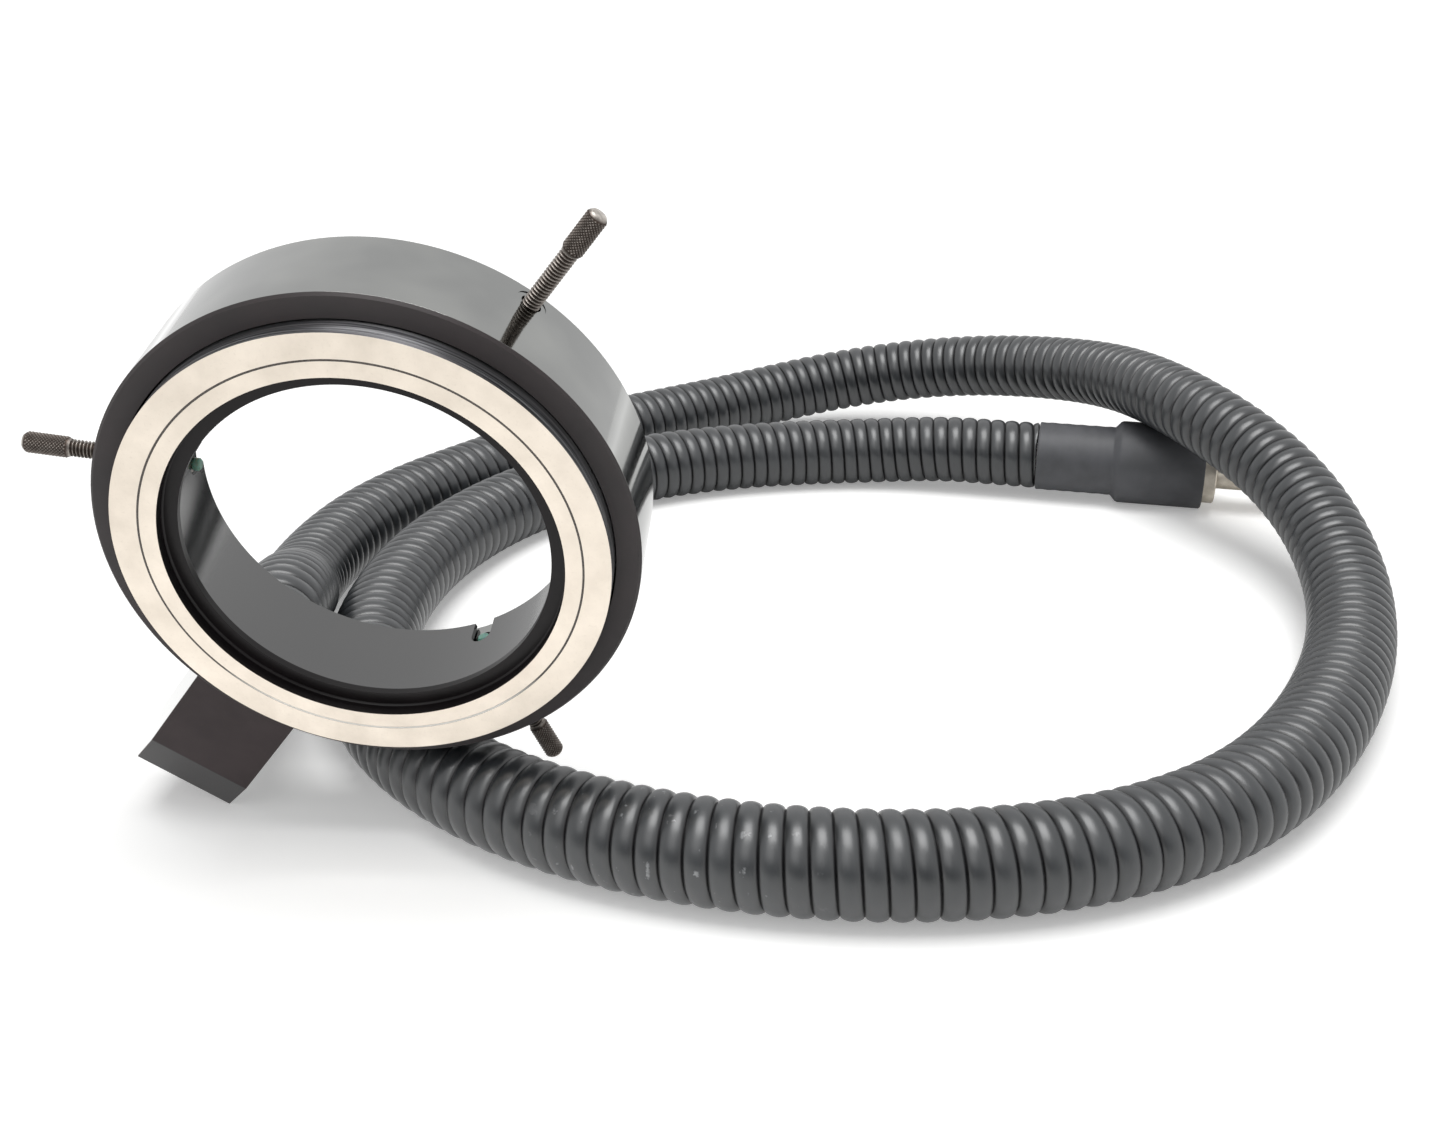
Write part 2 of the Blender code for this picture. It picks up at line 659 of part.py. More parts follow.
def make_connector(end_heading, sleeve_black, metal, glass):
    """The shrink sleeve, end fitting, ferrule and polished bundle end."""
    turn = Vector((0, 0, 1)).rotation_difference(end_heading).to_matrix().to_4x4()
    place = Matrix.Translation(HOSE_END) @ turn
    fitting_radius = SLEEVE_LARGE_RADIUS - SHRINK_WALL - CLEARANCE
    spigot_radius = SLEEVE_SMALL_RADIUS - SHRINK_WALL - CLEARANCE
    shoulder_end = SLEEVE_SMALL_LENGTH + SLEEVE_SHOULDER
    sleeve = (
        (SLEEVE_SMALL_RADIUS - SHRINK_WALL, CLEARANCE),
        (SLEEVE_SMALL_RADIUS, CLEARANCE),
        (SLEEVE_SMALL_RADIUS, SLEEVE_SMALL_LENGTH),
        (SLEEVE_LARGE_RADIUS, shoulder_end),
        (SLEEVE_LARGE_RADIUS, connector_body_end - SHRINK_EDGE),
        (SLEEVE_LARGE_RADIUS - SHRINK_EDGE, connector_body_end),
        (SLEEVE_LARGE_RADIUS - SHRINK_WALL, connector_body_end),
        (SLEEVE_LARGE_RADIUS - SHRINK_WALL, shoulder_end),
        (SLEEVE_SMALL_RADIUS - SHRINK_WALL, SLEEVE_SMALL_LENGTH),
    )
    turned_ring("shrink_sleeve", sleeve, sleeve_black, None, place, ROD_FACES)
    hole = ferrule_radius + CLEARANCE
    fitting = (
        (fitting_bore_radius, 2 * CLEARANCE),
        (spigot_radius, 2 * CLEARANCE),
        (spigot_radius, SLEEVE_SMALL_LENGTH + 2 * CLEARANCE),
        (fitting_radius, shoulder_end + 2 * CLEARANCE),
        (fitting_radius, connector_body_end),
        (FLANGE_RADIUS, connector_body_end),
        (FLANGE_RADIUS, flange_end - FITTING_EDGE),
        (FLANGE_RADIUS - FITTING_EDGE, flange_end),
        (hole, flange_end),
        (hole, ferrule_start - CLEARANCE),
        (fitting_bore_radius, ferrule_start - CLEARANCE),
    )
    turned_ring("end_fitting", fitting, metal, None, place, ROD_FACES)
    ferrule = (
        (ferrule_bore_radius, ferrule_start),
        (ferrule_radius, ferrule_start),
        (ferrule_radius, ferrule_end - FERRULE_EDGE),
        (ferrule_radius - FERRULE_EDGE, ferrule_end),
        (ferrule_bore_radius, ferrule_end),
    )
    turned_ring("ferrule", ferrule, metal, None, place, ROD_FACES)
    window_end = ferrule_end - WINDOW_RECESS
    window = plain_rod(ferrule_bore_radius - CLEARANCE, window_end - WINDOW_THICKNESS, window_end)
    turned_rod("input_window", window, glass, None, place)


def stand_on_origin(head):
    """Move the head so that its box is centred over the origin and stands on the bench."""
    bpy.context.view_layer.update()
    graph = bpy.context.evaluated_depsgraph_get()
    corners = []
    for item in head.children:
        if item.hide_render:
            continue
        shape = item.evaluated_get(graph)
        corners += [shape.matrix_world @ point.co for point in shape.data.vertices]
    low = [min(point[axis] for point in corners) for axis in range(3)]
    high = [max(point[axis] for point in corners) for axis in range(3)]
    head.location = (-(low[0] + high[0]) / 2, -(low[1] + high[1]) / 2, -low[2])
    bpy.context.view_layer.update()
    print("ground face centre", [round(value, 5) for value in head.location])


def build():
    clear_scene()
    black = make_material("black_anodised_aluminium", (0.035, 0.032, 0.031), 0.32, 0.4)
    face_black = make_material("ground_and_anodised_aluminium", (0.62, 0.59, 0.55), 0.35, 1.0)
    oxide = make_material("black_oxide_steel", (0.07, 0.06, 0.055), 0.45, 0.8)
    nylon = make_material("green_nylon", (0.16, 0.30, 0.24), 0.5)
    glass = make_material("glass_fibre", (0.55, 0.52, 0.45), 0.3)
    epoxy = make_material("potting_epoxy", (0.10, 0.08, 0.05), 0.4)
    metal = make_material("nickel_plated_brass", (0.66, 0.62, 0.55), 0.35, 1.0)
    vinyl = make_material("dark_grey_vinyl", (0.055, 0.058, 0.065), 0.5)
    shrink = make_material("heat_shrink", (0.03, 0.03, 0.032), 0.55)

    head = bpy.data.objects.new("head_frame", None)
    bpy.context.scene.collection.objects.link(head)
    head.rotation_euler = (RING_TILT, 0, 0)

    housing = make_housing(head, black)
    sleeve = make_sleeve(head, face_black)
    make_collar(head, face_black)
    make_fibres(head, glass, epoxy)
    for number in range(1, SCREW_COUNT + 1):
        make_thumbscrew(number, head, oxide, nylon, housing, sleeve)
    block, axis = make_block(head, black, oxide, housing)
    make_gland(head, axis, block, metal, oxide)
    make_neck(head, glass)
    stand_on_origin(head)

    start = head.matrix_world @ axis @ Vector((0, 0, hose_start_depth))
    heading = (head.matrix_world.to_3x3() @ Vector((0, 1, 0))).normalized()
    end_heading = Vector((math.cos(CONNECTOR_HEADING), math.sin(CONNECTOR_HEADING), 0))
    make_hose(start, heading, end_heading, vinyl, glass)
    make_connector(end_heading, shrink, metal, glass)


build()
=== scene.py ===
# %% [markdown]
# # A ring light guide
#
# The object is a fibre-optic ring light: a black anodised ring with a ground
# silver face, three thumbscrews, an outlet block, and a ribbed hose that ends in
# a connector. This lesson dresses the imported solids: it keeps the hidden pieces,
# and models the visible ones again with finer edges, threads, knurls and ribs.
#
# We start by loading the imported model. Every piece below takes its place from it.

# %% Load the frame
import json
import math

import bmesh
import bpy
import numpy as np
from mathutils import Matrix, Vector


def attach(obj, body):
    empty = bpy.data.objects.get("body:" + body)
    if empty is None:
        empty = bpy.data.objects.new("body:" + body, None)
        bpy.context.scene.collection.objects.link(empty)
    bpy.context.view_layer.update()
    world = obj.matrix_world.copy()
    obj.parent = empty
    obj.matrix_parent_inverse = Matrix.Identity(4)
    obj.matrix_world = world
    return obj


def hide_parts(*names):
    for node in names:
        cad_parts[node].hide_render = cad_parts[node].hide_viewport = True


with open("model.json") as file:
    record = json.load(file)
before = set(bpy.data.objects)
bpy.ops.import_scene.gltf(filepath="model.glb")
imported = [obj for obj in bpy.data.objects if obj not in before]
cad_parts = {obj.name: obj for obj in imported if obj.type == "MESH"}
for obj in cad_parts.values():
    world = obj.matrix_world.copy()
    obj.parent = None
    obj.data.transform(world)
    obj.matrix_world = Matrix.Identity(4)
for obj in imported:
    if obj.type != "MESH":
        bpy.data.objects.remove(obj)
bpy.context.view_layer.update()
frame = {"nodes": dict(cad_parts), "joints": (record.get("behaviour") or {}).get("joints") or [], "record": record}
nodes = frame["nodes"]
joints = {joint["name"]: joint for joint in frame["joints"]}
mounts = {mount["name"]: mount for mount in frame["record"]["mounts"]}
print("nodes:", len(nodes), "joints:", len(joints))

# %% [markdown]
# The ring is tilted, so its pieces are easiest to think of in the ring's own
# directions: across, back along the bore, and up in the plane of the ring. The
# front face is the start of every depth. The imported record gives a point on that
# face and its normal, and the rest of the ring's own frame follows from them.

# %% The ring's own frame
NOSE_POINT_RADIUS = 0.0392
ACROSS = Vector((1, 0, 0))
BACK = -Vector(mounts["nose_face"]["axis"]).normalized()
UP = ACROSS.cross(BACK)
CENTRE = Vector(mounts["nose_face"]["pos_m"]) - UP * NOSE_POINT_RADIUS
HEAD = Matrix.Translation(CENTRE) @ Matrix((ACROSS, BACK, UP)).transposed().to_4x4()
TILT = math.atan2(BACK.z, BACK.y)
ALONG_BORE = HEAD @ Matrix.Rotation(-math.pi / 2, 4, "X")


def radial_place(clock, depth):
    """A place on the ring: Z points outwards at a clock angle, and Y points back."""
    turn = Matrix.Rotation(math.pi / 2 - clock, 4, "Y")
    return HEAD @ Matrix.Translation((0, depth, 0)) @ turn


print("ring centre", [round(value, 4) for value in CENTRE], "tilt", round(math.degrees(TILT), 2))

# %% [markdown]
# The camera comes next, because everything is judged through it. It stands where
# the photographer stood: a little above the object, looking 22.5 degrees down
# through a normal lens.

# %% Camera
CAMERA_PLACE = (0.0825, -0.2585, 0.1619)
CAMERA_PITCH = math.radians(67.5)
CAMERA_YAW = math.radians(3.326)
CAMERA_LENS = 40.31
SENSOR_WIDTH = 36
NEAREST_SEEN = 0.01

camera_data = bpy.data.cameras.new("camera")
camera_data.lens = CAMERA_LENS
camera_data.sensor_width = SENSOR_WIDTH
camera_data.clip_start = NEAREST_SEEN
camera = bpy.data.objects.new("camera", camera_data)
camera.location = CAMERA_PLACE
camera.rotation_euler = (CAMERA_PITCH, 0, CAMERA_YAW)
bpy.context.scene.collection.objects.link(camera)
bpy.context.scene.camera = camera
print("camera at", CAMERA_PLACE, "with a lens of", CAMERA_LENS, "mm")

# %% [markdown]
# Pieces are modelled with the same operators as by hand. An operator acts on all
# that is selected, so each step selects one piece alone, and leaves it with its
# seams merged and its faces turned outwards.

# %% Selecting and editing one piece
MERGE = 1e-7


def deselect():
    if bpy.context.object and bpy.context.object.mode != "OBJECT":
        bpy.ops.object.mode_set(mode="OBJECT")
    bpy.ops.object.select_all(action="DESELECT")


def pick(piece):
    """Make a piece the active one, and the only one that is selected."""
    deselect()
    bpy.context.view_layer.objects.active = piece
    piece.select_set(True)


def edit(piece):
    pick(piece)
    bpy.ops.object.mode_set(mode="EDIT")
    return bmesh.from_edit_mesh(piece.data)


def done(piece):
    """Close the shape's seams, turn its faces outwards and leave edit mode."""
    bpy.ops.mesh.select_all(action="SELECT")
    bpy.ops.mesh.remove_doubles(threshold=MERGE)
    bpy.ops.mesh.normals_make_consistent(inside=False)
    bpy.ops.object.mode_set(mode="OBJECT")
    return piece


# %% [markdown]
# Modifiers do the bench work: Bevel breaks the edges and Boolean drills. Shading
# by angle keeps an edge crisp between two smooth walls, and weighted normals let
# the big faces decide how a wall looks right up to its edge.

# %% Breaking edges, shading and drilling


def apply_modifier(piece, kind, **settings):
    pick(piece)
    step = piece.modifiers.new(kind.lower(), kind)
    for name, value in settings.items():
        setattr(step, name, value)
    bpy.ops.object.modifier_apply(modifier=step.name)


def smooth(piece, angle=35):
    pick(piece)
    bpy.ops.object.shade_smooth_by_angle(angle=math.radians(angle))


def soften(piece, width, angle=25):
    """Break the sharp edges, as a lathe hand does with a file, and shade the rest smooth."""
    apply_modifier(piece, "BEVEL", width=width, segments=2, limit_method="ANGLE", angle_limit=math.radians(angle))
    smooth(piece)
    return piece


def true_flats(piece):
    apply_modifier(piece, "WEIGHTED_NORMAL", mode="FACE_AREA", weight=50, keep_sharp=True)


def cut(piece, *cutters):
    """Take each cutter out of a piece, and close the hairline seams that this leaves."""
    for cutter in cutters:
        apply_modifier(piece, "BOOLEAN", operation="DIFFERENCE", solver="EXACT", object=cutter)
        bpy.data.objects.remove(cutter)
    edit(piece)
    return done(piece)


# %% [markdown]
# A lathe shape starts as one corner of a plane. It is extruded along its outline
# and spun round the Z axis. Many sides cost little here, and they keep the rims
# of the ring round in a close view. A plain bar made so serves as a drill.

# %% Lathe shapes


def one_point(name, x, z):
    """A mesh of a single point, left selected in edit mode."""
    deselect()
    bpy.ops.mesh.primitive_plane_add(size=1, location=(0, 0, 0))
    piece = bpy.context.object
    piece.name = name
    mesh = edit(piece)
    bpy.ops.mesh.select_all(action="DESELECT")
    mesh.verts.ensure_lookup_table()
    for vert in mesh.verts[1:]:
        vert.select = True
    bpy.ops.mesh.delete(type="VERT")
    mesh = bmesh.from_edit_mesh(piece.data)
    mesh.verts.ensure_lookup_table()
    mesh.verts[0].co = (x, 0, z)
    bmesh.update_edit_mesh(piece.data)
    bpy.ops.mesh.select_all(action="SELECT")
    return piece


def turned(name, outline, steps=192, ring=True):
    """Spin an outline of (radius, height) points round Z. A ring's outline is a closed loop."""
    piece = one_point(name, *outline[0])
    stops = list(outline[1:]) + ([outline[0]] if ring else [])
    here = outline[0]
    for stop in stops:
        move = (stop[0] - here[0], 0, stop[1] - here[1])
        bpy.ops.mesh.extrude_region_move(TRANSFORM_OT_translate={"value": move})
        here = stop
    bpy.ops.mesh.select_all(action="SELECT")
    bpy.ops.mesh.spin(steps=steps, angle=2 * math.pi, center=(0, 0, 0), axis=(0, 0, 1))
    return done(piece)


def place_at(piece, place):
    piece.data.transform(place)
    return piece


def rod(name, radius, low, high, place, steps=48):
    """A plain round bar, for drilling holes."""
    return place_at(turned(name, [(0, low), (radius, low), (radius, high), (0, high)], steps, ring=False), place)


# %% Saying what a piece is


def finish_piece(piece, body, slot, solid, *materials):
    """Give a piece its materials, hang it on its body and hide the solid that it stands for. The slot is not used.
    """
    for material in materials:
        piece.data.materials.append(material)
    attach(piece, body)
    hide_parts(solid)
    print(piece.name, len(piece.data.polygons), "faces")


# %% [markdown]
# ## Materials
#
# Each finish starts from what the real one is: its metal or plastic, and how its
# surface was made. One function turns hex colours into the linear values that
# Blender mixes, and one adds a node with its settings and links. A pattern's
# scale is in marks to the metre, so 5000 makes marks of 0.2 mm.

# %% Helpers for materials
FIRST, SECOND = 6, 7                            # a Mix node's two colours, by their place in its list
MIDDLE = {"From Min": 0.35, "From Max": 0.65}   # the part of a noise's range that it fills most
SPAN = {"From Min": 0.3, "From Max": 0.7}       # a wider part, for softer changes


def colour(code):
    """An sRGB hex colour as linear red, green, blue and alpha."""
    values = [int(code[start:start + 2], 16) / 255 for start in (1, 3, 5)]
    return (*[v / 12.92 if v <= 0.04045 else ((v + 0.055) / 1.055) ** 2.4 for v in values], 1.0)


def link(tree, source, socket):
    """Link a socket to another, or to the first output that a node's settings leave in use."""
    if isinstance(source, bpy.types.Node):
        source = next(output for output in source.outputs if output.enabled)
    tree.links.new(source, socket)


def node(tree, kind, inputs=None, **settings):
    """Add a node. Its inputs are values, or other nodes and sockets to link."""
    made = tree.nodes.new("ShaderNode" + kind)
    for name, value in settings.items():
        setattr(made, name, value)
    for key, value in (inputs or {}).items():
        if isinstance(value, (bpy.types.Node, bpy.types.NodeSocket)):
            link(tree, value, made.inputs[key])
        else:
            made.inputs[key].default_value = value
    return made


def new_finish(name, **shader):
    """A material with a Principled shader, whose sockets are given with _ for a space."""
    material = bpy.data.materials.new(name)
    material.use_nodes = True
    surface = material.node_tree.nodes["Principled BSDF"]
    for key, value in shader.items():
        surface.inputs[key.replace("_", " ")].default_value = value
    return material, material.node_tree, surface


def drive(surface, **sources):
    """Link the shader's sockets, again given with _ for a space."""
    for key, source in sources.items():
        link(surface.id_data, source, surface.inputs[key.replace("_", " ")])


def patchy(tree, place, scale, first, second, detail=4.0, part=SPAN):
    """A pattern of soft patches, and two shades mixed by it."""
    cloud = node(tree, "TexNoise", {"Vector": place, "Scale": scale, "Detail": detail})
    share = node(tree, "MapRange", {"Value": cloud, **part})
    return cloud, node(tree, "Mix", {"Factor": share, FIRST: colour(first), SECOND: colour(second)},
                       data_type="RGBA")


def ring_coordinates(tree):
    """Positions in the ring's own frame: X across, Y back along the bore, Z up."""
    place = node(tree, "TexCoord").outputs["Object"]
    return node(tree, "Mapping", {"Vector": place, "Location": CENTRE, "Rotation": (TILT, 0, 0)},
                vector_type="TEXTURE")


# %% [markdown]
# **Black anodised aluminium.** The dye sits in a clear hard oxide over machined
# metal, so each surface still shows how it was cut. The housing's wall was turned
# to a gloss and is a grey mirror, and the nose collar's wall shows its tool
# lines. The housing's front and back were faced on the lathe, which leaves a
# brownish black. Tangents along or across the lines stretch the highlights.

# %% Turned and faced aluminium
ROUND_LINES = (0.02, 1.0, 0.02)     # stretches a pattern into lines that run round the bore
WALL_LINE_SCALE = 9000      # tool lines about 0.1 mm apart, coarser than real so that they show
WALL_CLOUD_SCALE = 60       # patches about 17 mm wide, where the dye took unevenly
NOSE_LINE_SCALE = 2600      # tool lines about 0.4 mm apart, coarser than real so that they show
DYE_CLOUD_SCALE = 90        # patches about 11 mm wide
ACROSS_LINES = 0.9          # how much rougher the metal is across its lines than along them


def anodised_gloss():
    """The housing's wall, turned to a gloss: the metal under the oxide mirrors the room in grey."""
    material, tree, surface = new_finish("black anodised aluminium, turned", Metallic=1.0)
    place = ring_coordinates(tree)
    lines = node(tree, "Mapping", {"Vector": place, "Scale": ROUND_LINES})
    grain = node(tree, "TexNoise", {"Vector": lines, "Scale": WALL_LINE_SCALE, "Detail": 3.0})
    cloud, shade = patchy(tree, place, WALL_CLOUD_SCALE, "#8d8e8d", "#9a9b99", detail=2.0, part=MIDDLE)
    drive(surface, Base_Color=shade,
          Roughness=node(tree, "MapRange", {"Value": cloud, **SPAN, "To Min": 0.05, "To Max": 0.10}),
          Normal=node(tree, "Bump", {"Height": grain, "Distance": 0.000004, "Strength": 0.25}))
    return material


def turned_lines(surface, across):
    """Make a finish rough across its tool lines and smooth along them, as a turned surface is."""
    surface.inputs["Anisotropic"].default_value = ACROSS_LINES
    drive(surface, Tangent=across)


def anodised_nose():
    """The nose collar's wall: its lines run round it, so light from above makes one soft streak."""
    material, tree, surface = new_finish("black anodised aluminium, nose wall", Metallic=1.0, Roughness=0.34)
    lines = node(tree, "Mapping", {"Vector": ring_coordinates(tree), "Scale": ROUND_LINES})
    _, shade = patchy(tree, lines, NOSE_LINE_SCALE, "#3c3c40", "#9a9a9c", detail=1.0)
    drive(surface, Base_Color=shade)
    turned_lines(surface, node(tree, "CombineXYZ", {0: BACK.x, 1: BACK.y, 2: BACK.z}))
    return material


def anodised_face():
    """The housing's front and back: faced on the lathe, so the light fans outwards over them."""
    material, tree, surface = new_finish("black anodised aluminium, faced", Roughness=0.58, IOR=1.65)
    _, shade = patchy(tree, ring_coordinates(tree), DYE_CLOUD_SCALE, "#302829", "#262021", part=MIDDLE)
    drive(surface, Base_Color=shade)
    place = node(tree, "TexCoord").outputs["Object"]
    turned_lines(surface, node(tree, "VectorMath", {0: place, 1: CENTRE}, operation="SUBTRACT"))
    return material


gloss_black, nose_black, face_black = anodised_gloss(), anodised_nose(), anodised_face()
print("finishes:", gloss_black.name, "/", nose_black.name, "/", face_black.name)

# %% [markdown]
# The block was bead blasted before it went black, the bore was bored smooth, and
# the lip was milled. The block's chamfer takes the milled finish as well, whose
# darker colour there is painted shade. These differ only in colour, in gloss and
# in how strongly the oxide mirrors, so one function makes all three.

# %% Blasted, bored and milled aluminium
GRIT_SCALE = 5200           # marks of about 0.2 mm, coarser than real grit so that they show


def anodised_satin(name, first, second, roughness, index):
    """A machined face under the black: faint clouds in the dye, and a fine grit in the light."""
    material, tree, surface = new_finish(name, Roughness=roughness, IOR=index)
    place = ring_coordinates(tree)
    _, shade = patchy(tree, place, DYE_CLOUD_SCALE, first, second, part=MIDDLE)
    grit = node(tree, "TexNoise", {"Vector": place, "Scale": GRIT_SCALE, "Detail": 2.0})
    drive(surface, Base_Color=shade,
          Normal=node(tree, "Bump", {"Height": grit, "Distance": 0.00002, "Strength": 0.5}))
    return material


satin_black = anodised_satin("black anodised aluminium, blasted", "#413839", "#372f30", 0.45, 1.3)
bore_black = anodised_satin("black anodised aluminium, bored", "#141415", "#0f0f10", 0.13, 2.1)
# the milled finish, which on the block's chamfer is painted shade: darker than the blasted block around it
milled_black_and_chamfer_shade = anodised_satin("black anodised aluminium, milled", "#1c1819", "#151213", 0.32, 1.3)
print("finishes:", satin_black.name, "/", bore_black.name, "/", milled_black_and_chamfer_shade.name)

# %% [markdown]
# ** Ground aluminium.** The two nose rings were ground flat together after the
# fibres were glued in, which took the black off their faces. The metal is a warm
# silver, dull from the grit, with faint cloudy patches. The glass fibres between
# them were ground with it, and look like a dark line with fine pale cells. A
# painted highlight whitens their lowest stretch.

# %% Ground aluminium and the fibre ends
GROUND_CLOUD_SCALE = 110    # patches about 9 mm wide
GROUND_SPECK_SCALE = 1900   # marks of about 0.5 mm, coarser than real grit so that they show
FIBRE_SCALE = 7000          # fibres about 0.14 mm thick, coarser than real so that they show
# painted highlight: below these heights on the ring the fibre ends are mixed towards white
PAINTED_GLINT_FROM, PAINTED_GLINT_FULL = -0.024, -0.031       # heights on the ring, below which the fibre ends are pale


def ground_aluminium():
    """The silver face: bare metal off a grinding plate, with grey specks where the grit tore it."""
    material, tree, surface = new_finish("ground aluminium", Metallic=1.0)
    place = ring_coordinates(tree)
    cloud = node(tree, "TexNoise", {"Vector": place, "Scale": GROUND_CLOUD_SCALE, "Detail": 5.0, "Roughness": 0.55})
    speck = node(tree, "TexNoise", {"Vector": place, "Scale": GROUND_SPECK_SCALE, "Detail": 4.0})
    patch = node(tree, "MapRange", {"Value": cloud, "From Min": 0.34, "From Max": 0.66})
    torn = node(tree, "MapRange", {"Value": speck, "From Min": 0.58, "From Max": 0.80, "To Max": 0.30})
    base = node(tree, "Mix", {"Factor": patch, FIRST: colour("#d6ccbf"), SECOND: colour("#eae0d3")},
                data_type="RGBA")
    drive(surface,
          Base_Color=node(tree, "Mix", {"Factor": torn, FIRST: base, SECOND: colour("#bdb2a4")}, data_type="RGBA"),
          Roughness=node(tree, "MapRange", {"Value": cloud, **SPAN, "To Min": 0.34, "To Max": 0.46}),
          Normal=node(tree, "Bump", {"Height": speck, "Distance": 0.00003, "Strength": 0.35}))
    return material


def fibre_ends():
    """Polished ends of glass fibres in epoxy, with a painted highlight that whitens the lowest ones."""
    material, tree, surface = new_finish("polished glass fibre ends", Roughness=0.25, IOR=1.52)
    place = ring_coordinates(tree)
    cell = node(tree, "TexVoronoi", {"Vector": place, "Scale": FIBRE_SCALE})
    edge = node(tree, "MapRange", {"Value": cell, "From Min": 0.2, "From Max": 0.7})
    height = node(tree, "SeparateXYZ", {"Vector": place}).outputs["Z"]
    # painted highlight: the lowest stretch of the fibre ring is whitened by its height
    painted_glint = node(tree, "MapRange", {"Value": height, "From Min": PAINTED_GLINT_FROM, "From Max": PAINTED_GLINT_FULL})
    base = node(tree, "Mix", {"Factor": edge, FIRST: colour("#6a625b"), SECOND: colour("#3b3531")},
                data_type="RGBA")
    drive(surface, Base_Color=node(tree, "Mix", {"Factor": painted_glint, FIRST: base, SECOND: colour("#fffdf6")},
                                   data_type="RGBA"))
    return material


silver, fibre = ground_aluminium(), fibre_ends()
print("finishes:", silver.name, "/", fibre.name)

# %% [markdown]
# **Black oxide steel.** A thin black-brown film on a machined screw. It wears
# off first where fingers and the mating thread rub: on the crests. The mesh
# stores that as an attribute named wear, from 0 in a root to 1 on a crest.
# **Nickel plate** on turned brass is a warm satin, and **nylon** is moulded in
# its green and lets a little light in.

# %% Steel, nickel plate and nylon
OXIDE_CLOUD_SCALE = 900     # patches about 1 mm wide
PLATE_CLOUD_SCALE = 400     # patches about 2.5 mm wide
NYLON_CLOUD_SCALE = 1500    # flow marks about 0.7 mm wide


def black_oxide():
    """The screws: near black in the roots, and rubbed to bare steel in patches on the crests."""
    material, tree, surface = new_finish("black oxide steel", Metallic=1.0)
    wear = node(tree, "Attribute", attribute_name="wear").outputs["Fac"]
    place = node(tree, "TexCoord").outputs["Object"]
    cloud = node(tree, "TexNoise", {"Vector": place, "Scale": OXIDE_CLOUD_SCALE, "Detail": 3.0})
    share = node(tree, "MapRange", {"Value": cloud, "From Min": 0.3, "From Max": 0.62, "To Min": 0.45})
    rubbed = node(tree, "Math", {0: wear, 1: share}, operation="MULTIPLY")
    drive(surface,
          Base_Color=node(tree, "Mix", {"Factor": rubbed, FIRST: colour("#453c37"), SECOND: colour("#cbc5be")},
                          data_type="RGBA"),
          Roughness=node(tree, "MapRange", {"Value": rubbed, "To Min": 0.48, "To Max": 0.30}))
    return material


def nickel_plate():
    """The gland, the end fitting and the ferrule: turned brass under a warm satin plate."""
    material, tree, surface = new_finish("satin nickel plate", Metallic=1.0)
    place = node(tree, "TexCoord").outputs["Object"]
    cloud, shade = patchy(tree, place, PLATE_CLOUD_SCALE, "#d6cfc3", "#bdb5a8", detail=3.0,
                          part={"From Min": 0.35, "From Max": 0.7})
    drive(surface, Base_Color=shade,
          Roughness=node(tree, "MapRange", {"Value": cloud, **SPAN, "To Min": 0.28, "To Max": 0.42}))
    return material


def moulded_nylon():
    """The screws' tips: green all through, so that they don't mark the barrel that they grip."""
    material, tree, surface = new_finish("moulded green nylon", Roughness=0.38, Subsurface_Weight=0.15)
    place = node(tree, "TexCoord").outputs["Object"]
    cloud = node(tree, "TexNoise", {"Vector": place, "Scale": NYLON_CLOUD_SCALE})
    drive(surface, Base_Color=node(tree, "Mix", {"Factor": cloud, FIRST: colour("#5f9583"),
                                                 SECOND: colour("#83b3a2")}, data_type="RGBA"))
    return material


oxide, nickel, nylon = black_oxide(), nickel_plate(), moulded_nylon()
print("finishes:", oxide.name, "/", nickel.name, "/", nylon.name)

# %% [markdown]
# ** Vinyl and heat shrink.** The hose is a steel conduit in a dark vinyl skin, a
# bluish grey with painted shade darkening its grooves, and a few pale scuffs
# where it was dragged over a bench. The sleeve is polyolefin, shrunk on with hot
# air. The epoxy behind the fibres was poured in, and nothing outside shows it.

# %% Vinyl, heat shrink and epoxy
SCUFFED_SPOT = (0.058, -0.029, 0.009)
SCUFFED_REACH = 0.030
CHIP_SCALE = 420            # scuffs about 2.4 mm apart
VINYL_CLOUD_SCALE = 70      # patches about 14 mm wide
VINYL_GRAIN_SCALE = 2600    # grain of about 0.4 mm
SHRINK_CLOUD_SCALE = 160    # patches about 6 mm wide
SHRINK_GRAIN_SCALE = 1800   # grain of about 0.6 mm
EPOXY_CLOUD_SCALE = 300     # streaks about 3 mm wide


def scuffs(tree, place, groove):
    """How scuffed the vinyl is: chips near one spot, and only on the ribs' crests."""
    away = node(tree, "VectorMath", {0: place, 1: SCUFFED_SPOT}, operation="DISTANCE")
    near = node(tree, "MapRange", {"Value": away, "From Min": SCUFFED_REACH, "From Max": SCUFFED_REACH / 2})
    chip = node(tree, "TexNoise", {"Vector": place, "Scale": CHIP_SCALE, "Detail": 3.0})
    chipped = node(tree, "MapRange", {"Value": chip, "From Min": 0.64, "From Max": 0.70})
    crest = node(tree, "MapRange", {"Value": groove, "From Min": 0.2, "From Max": 0.0})
    there = node(tree, "Math", {0: near, 1: chipped}, operation="MULTIPLY")
    return node(tree, "Math", {0: there, 1: crest}, operation="MULTIPLY")


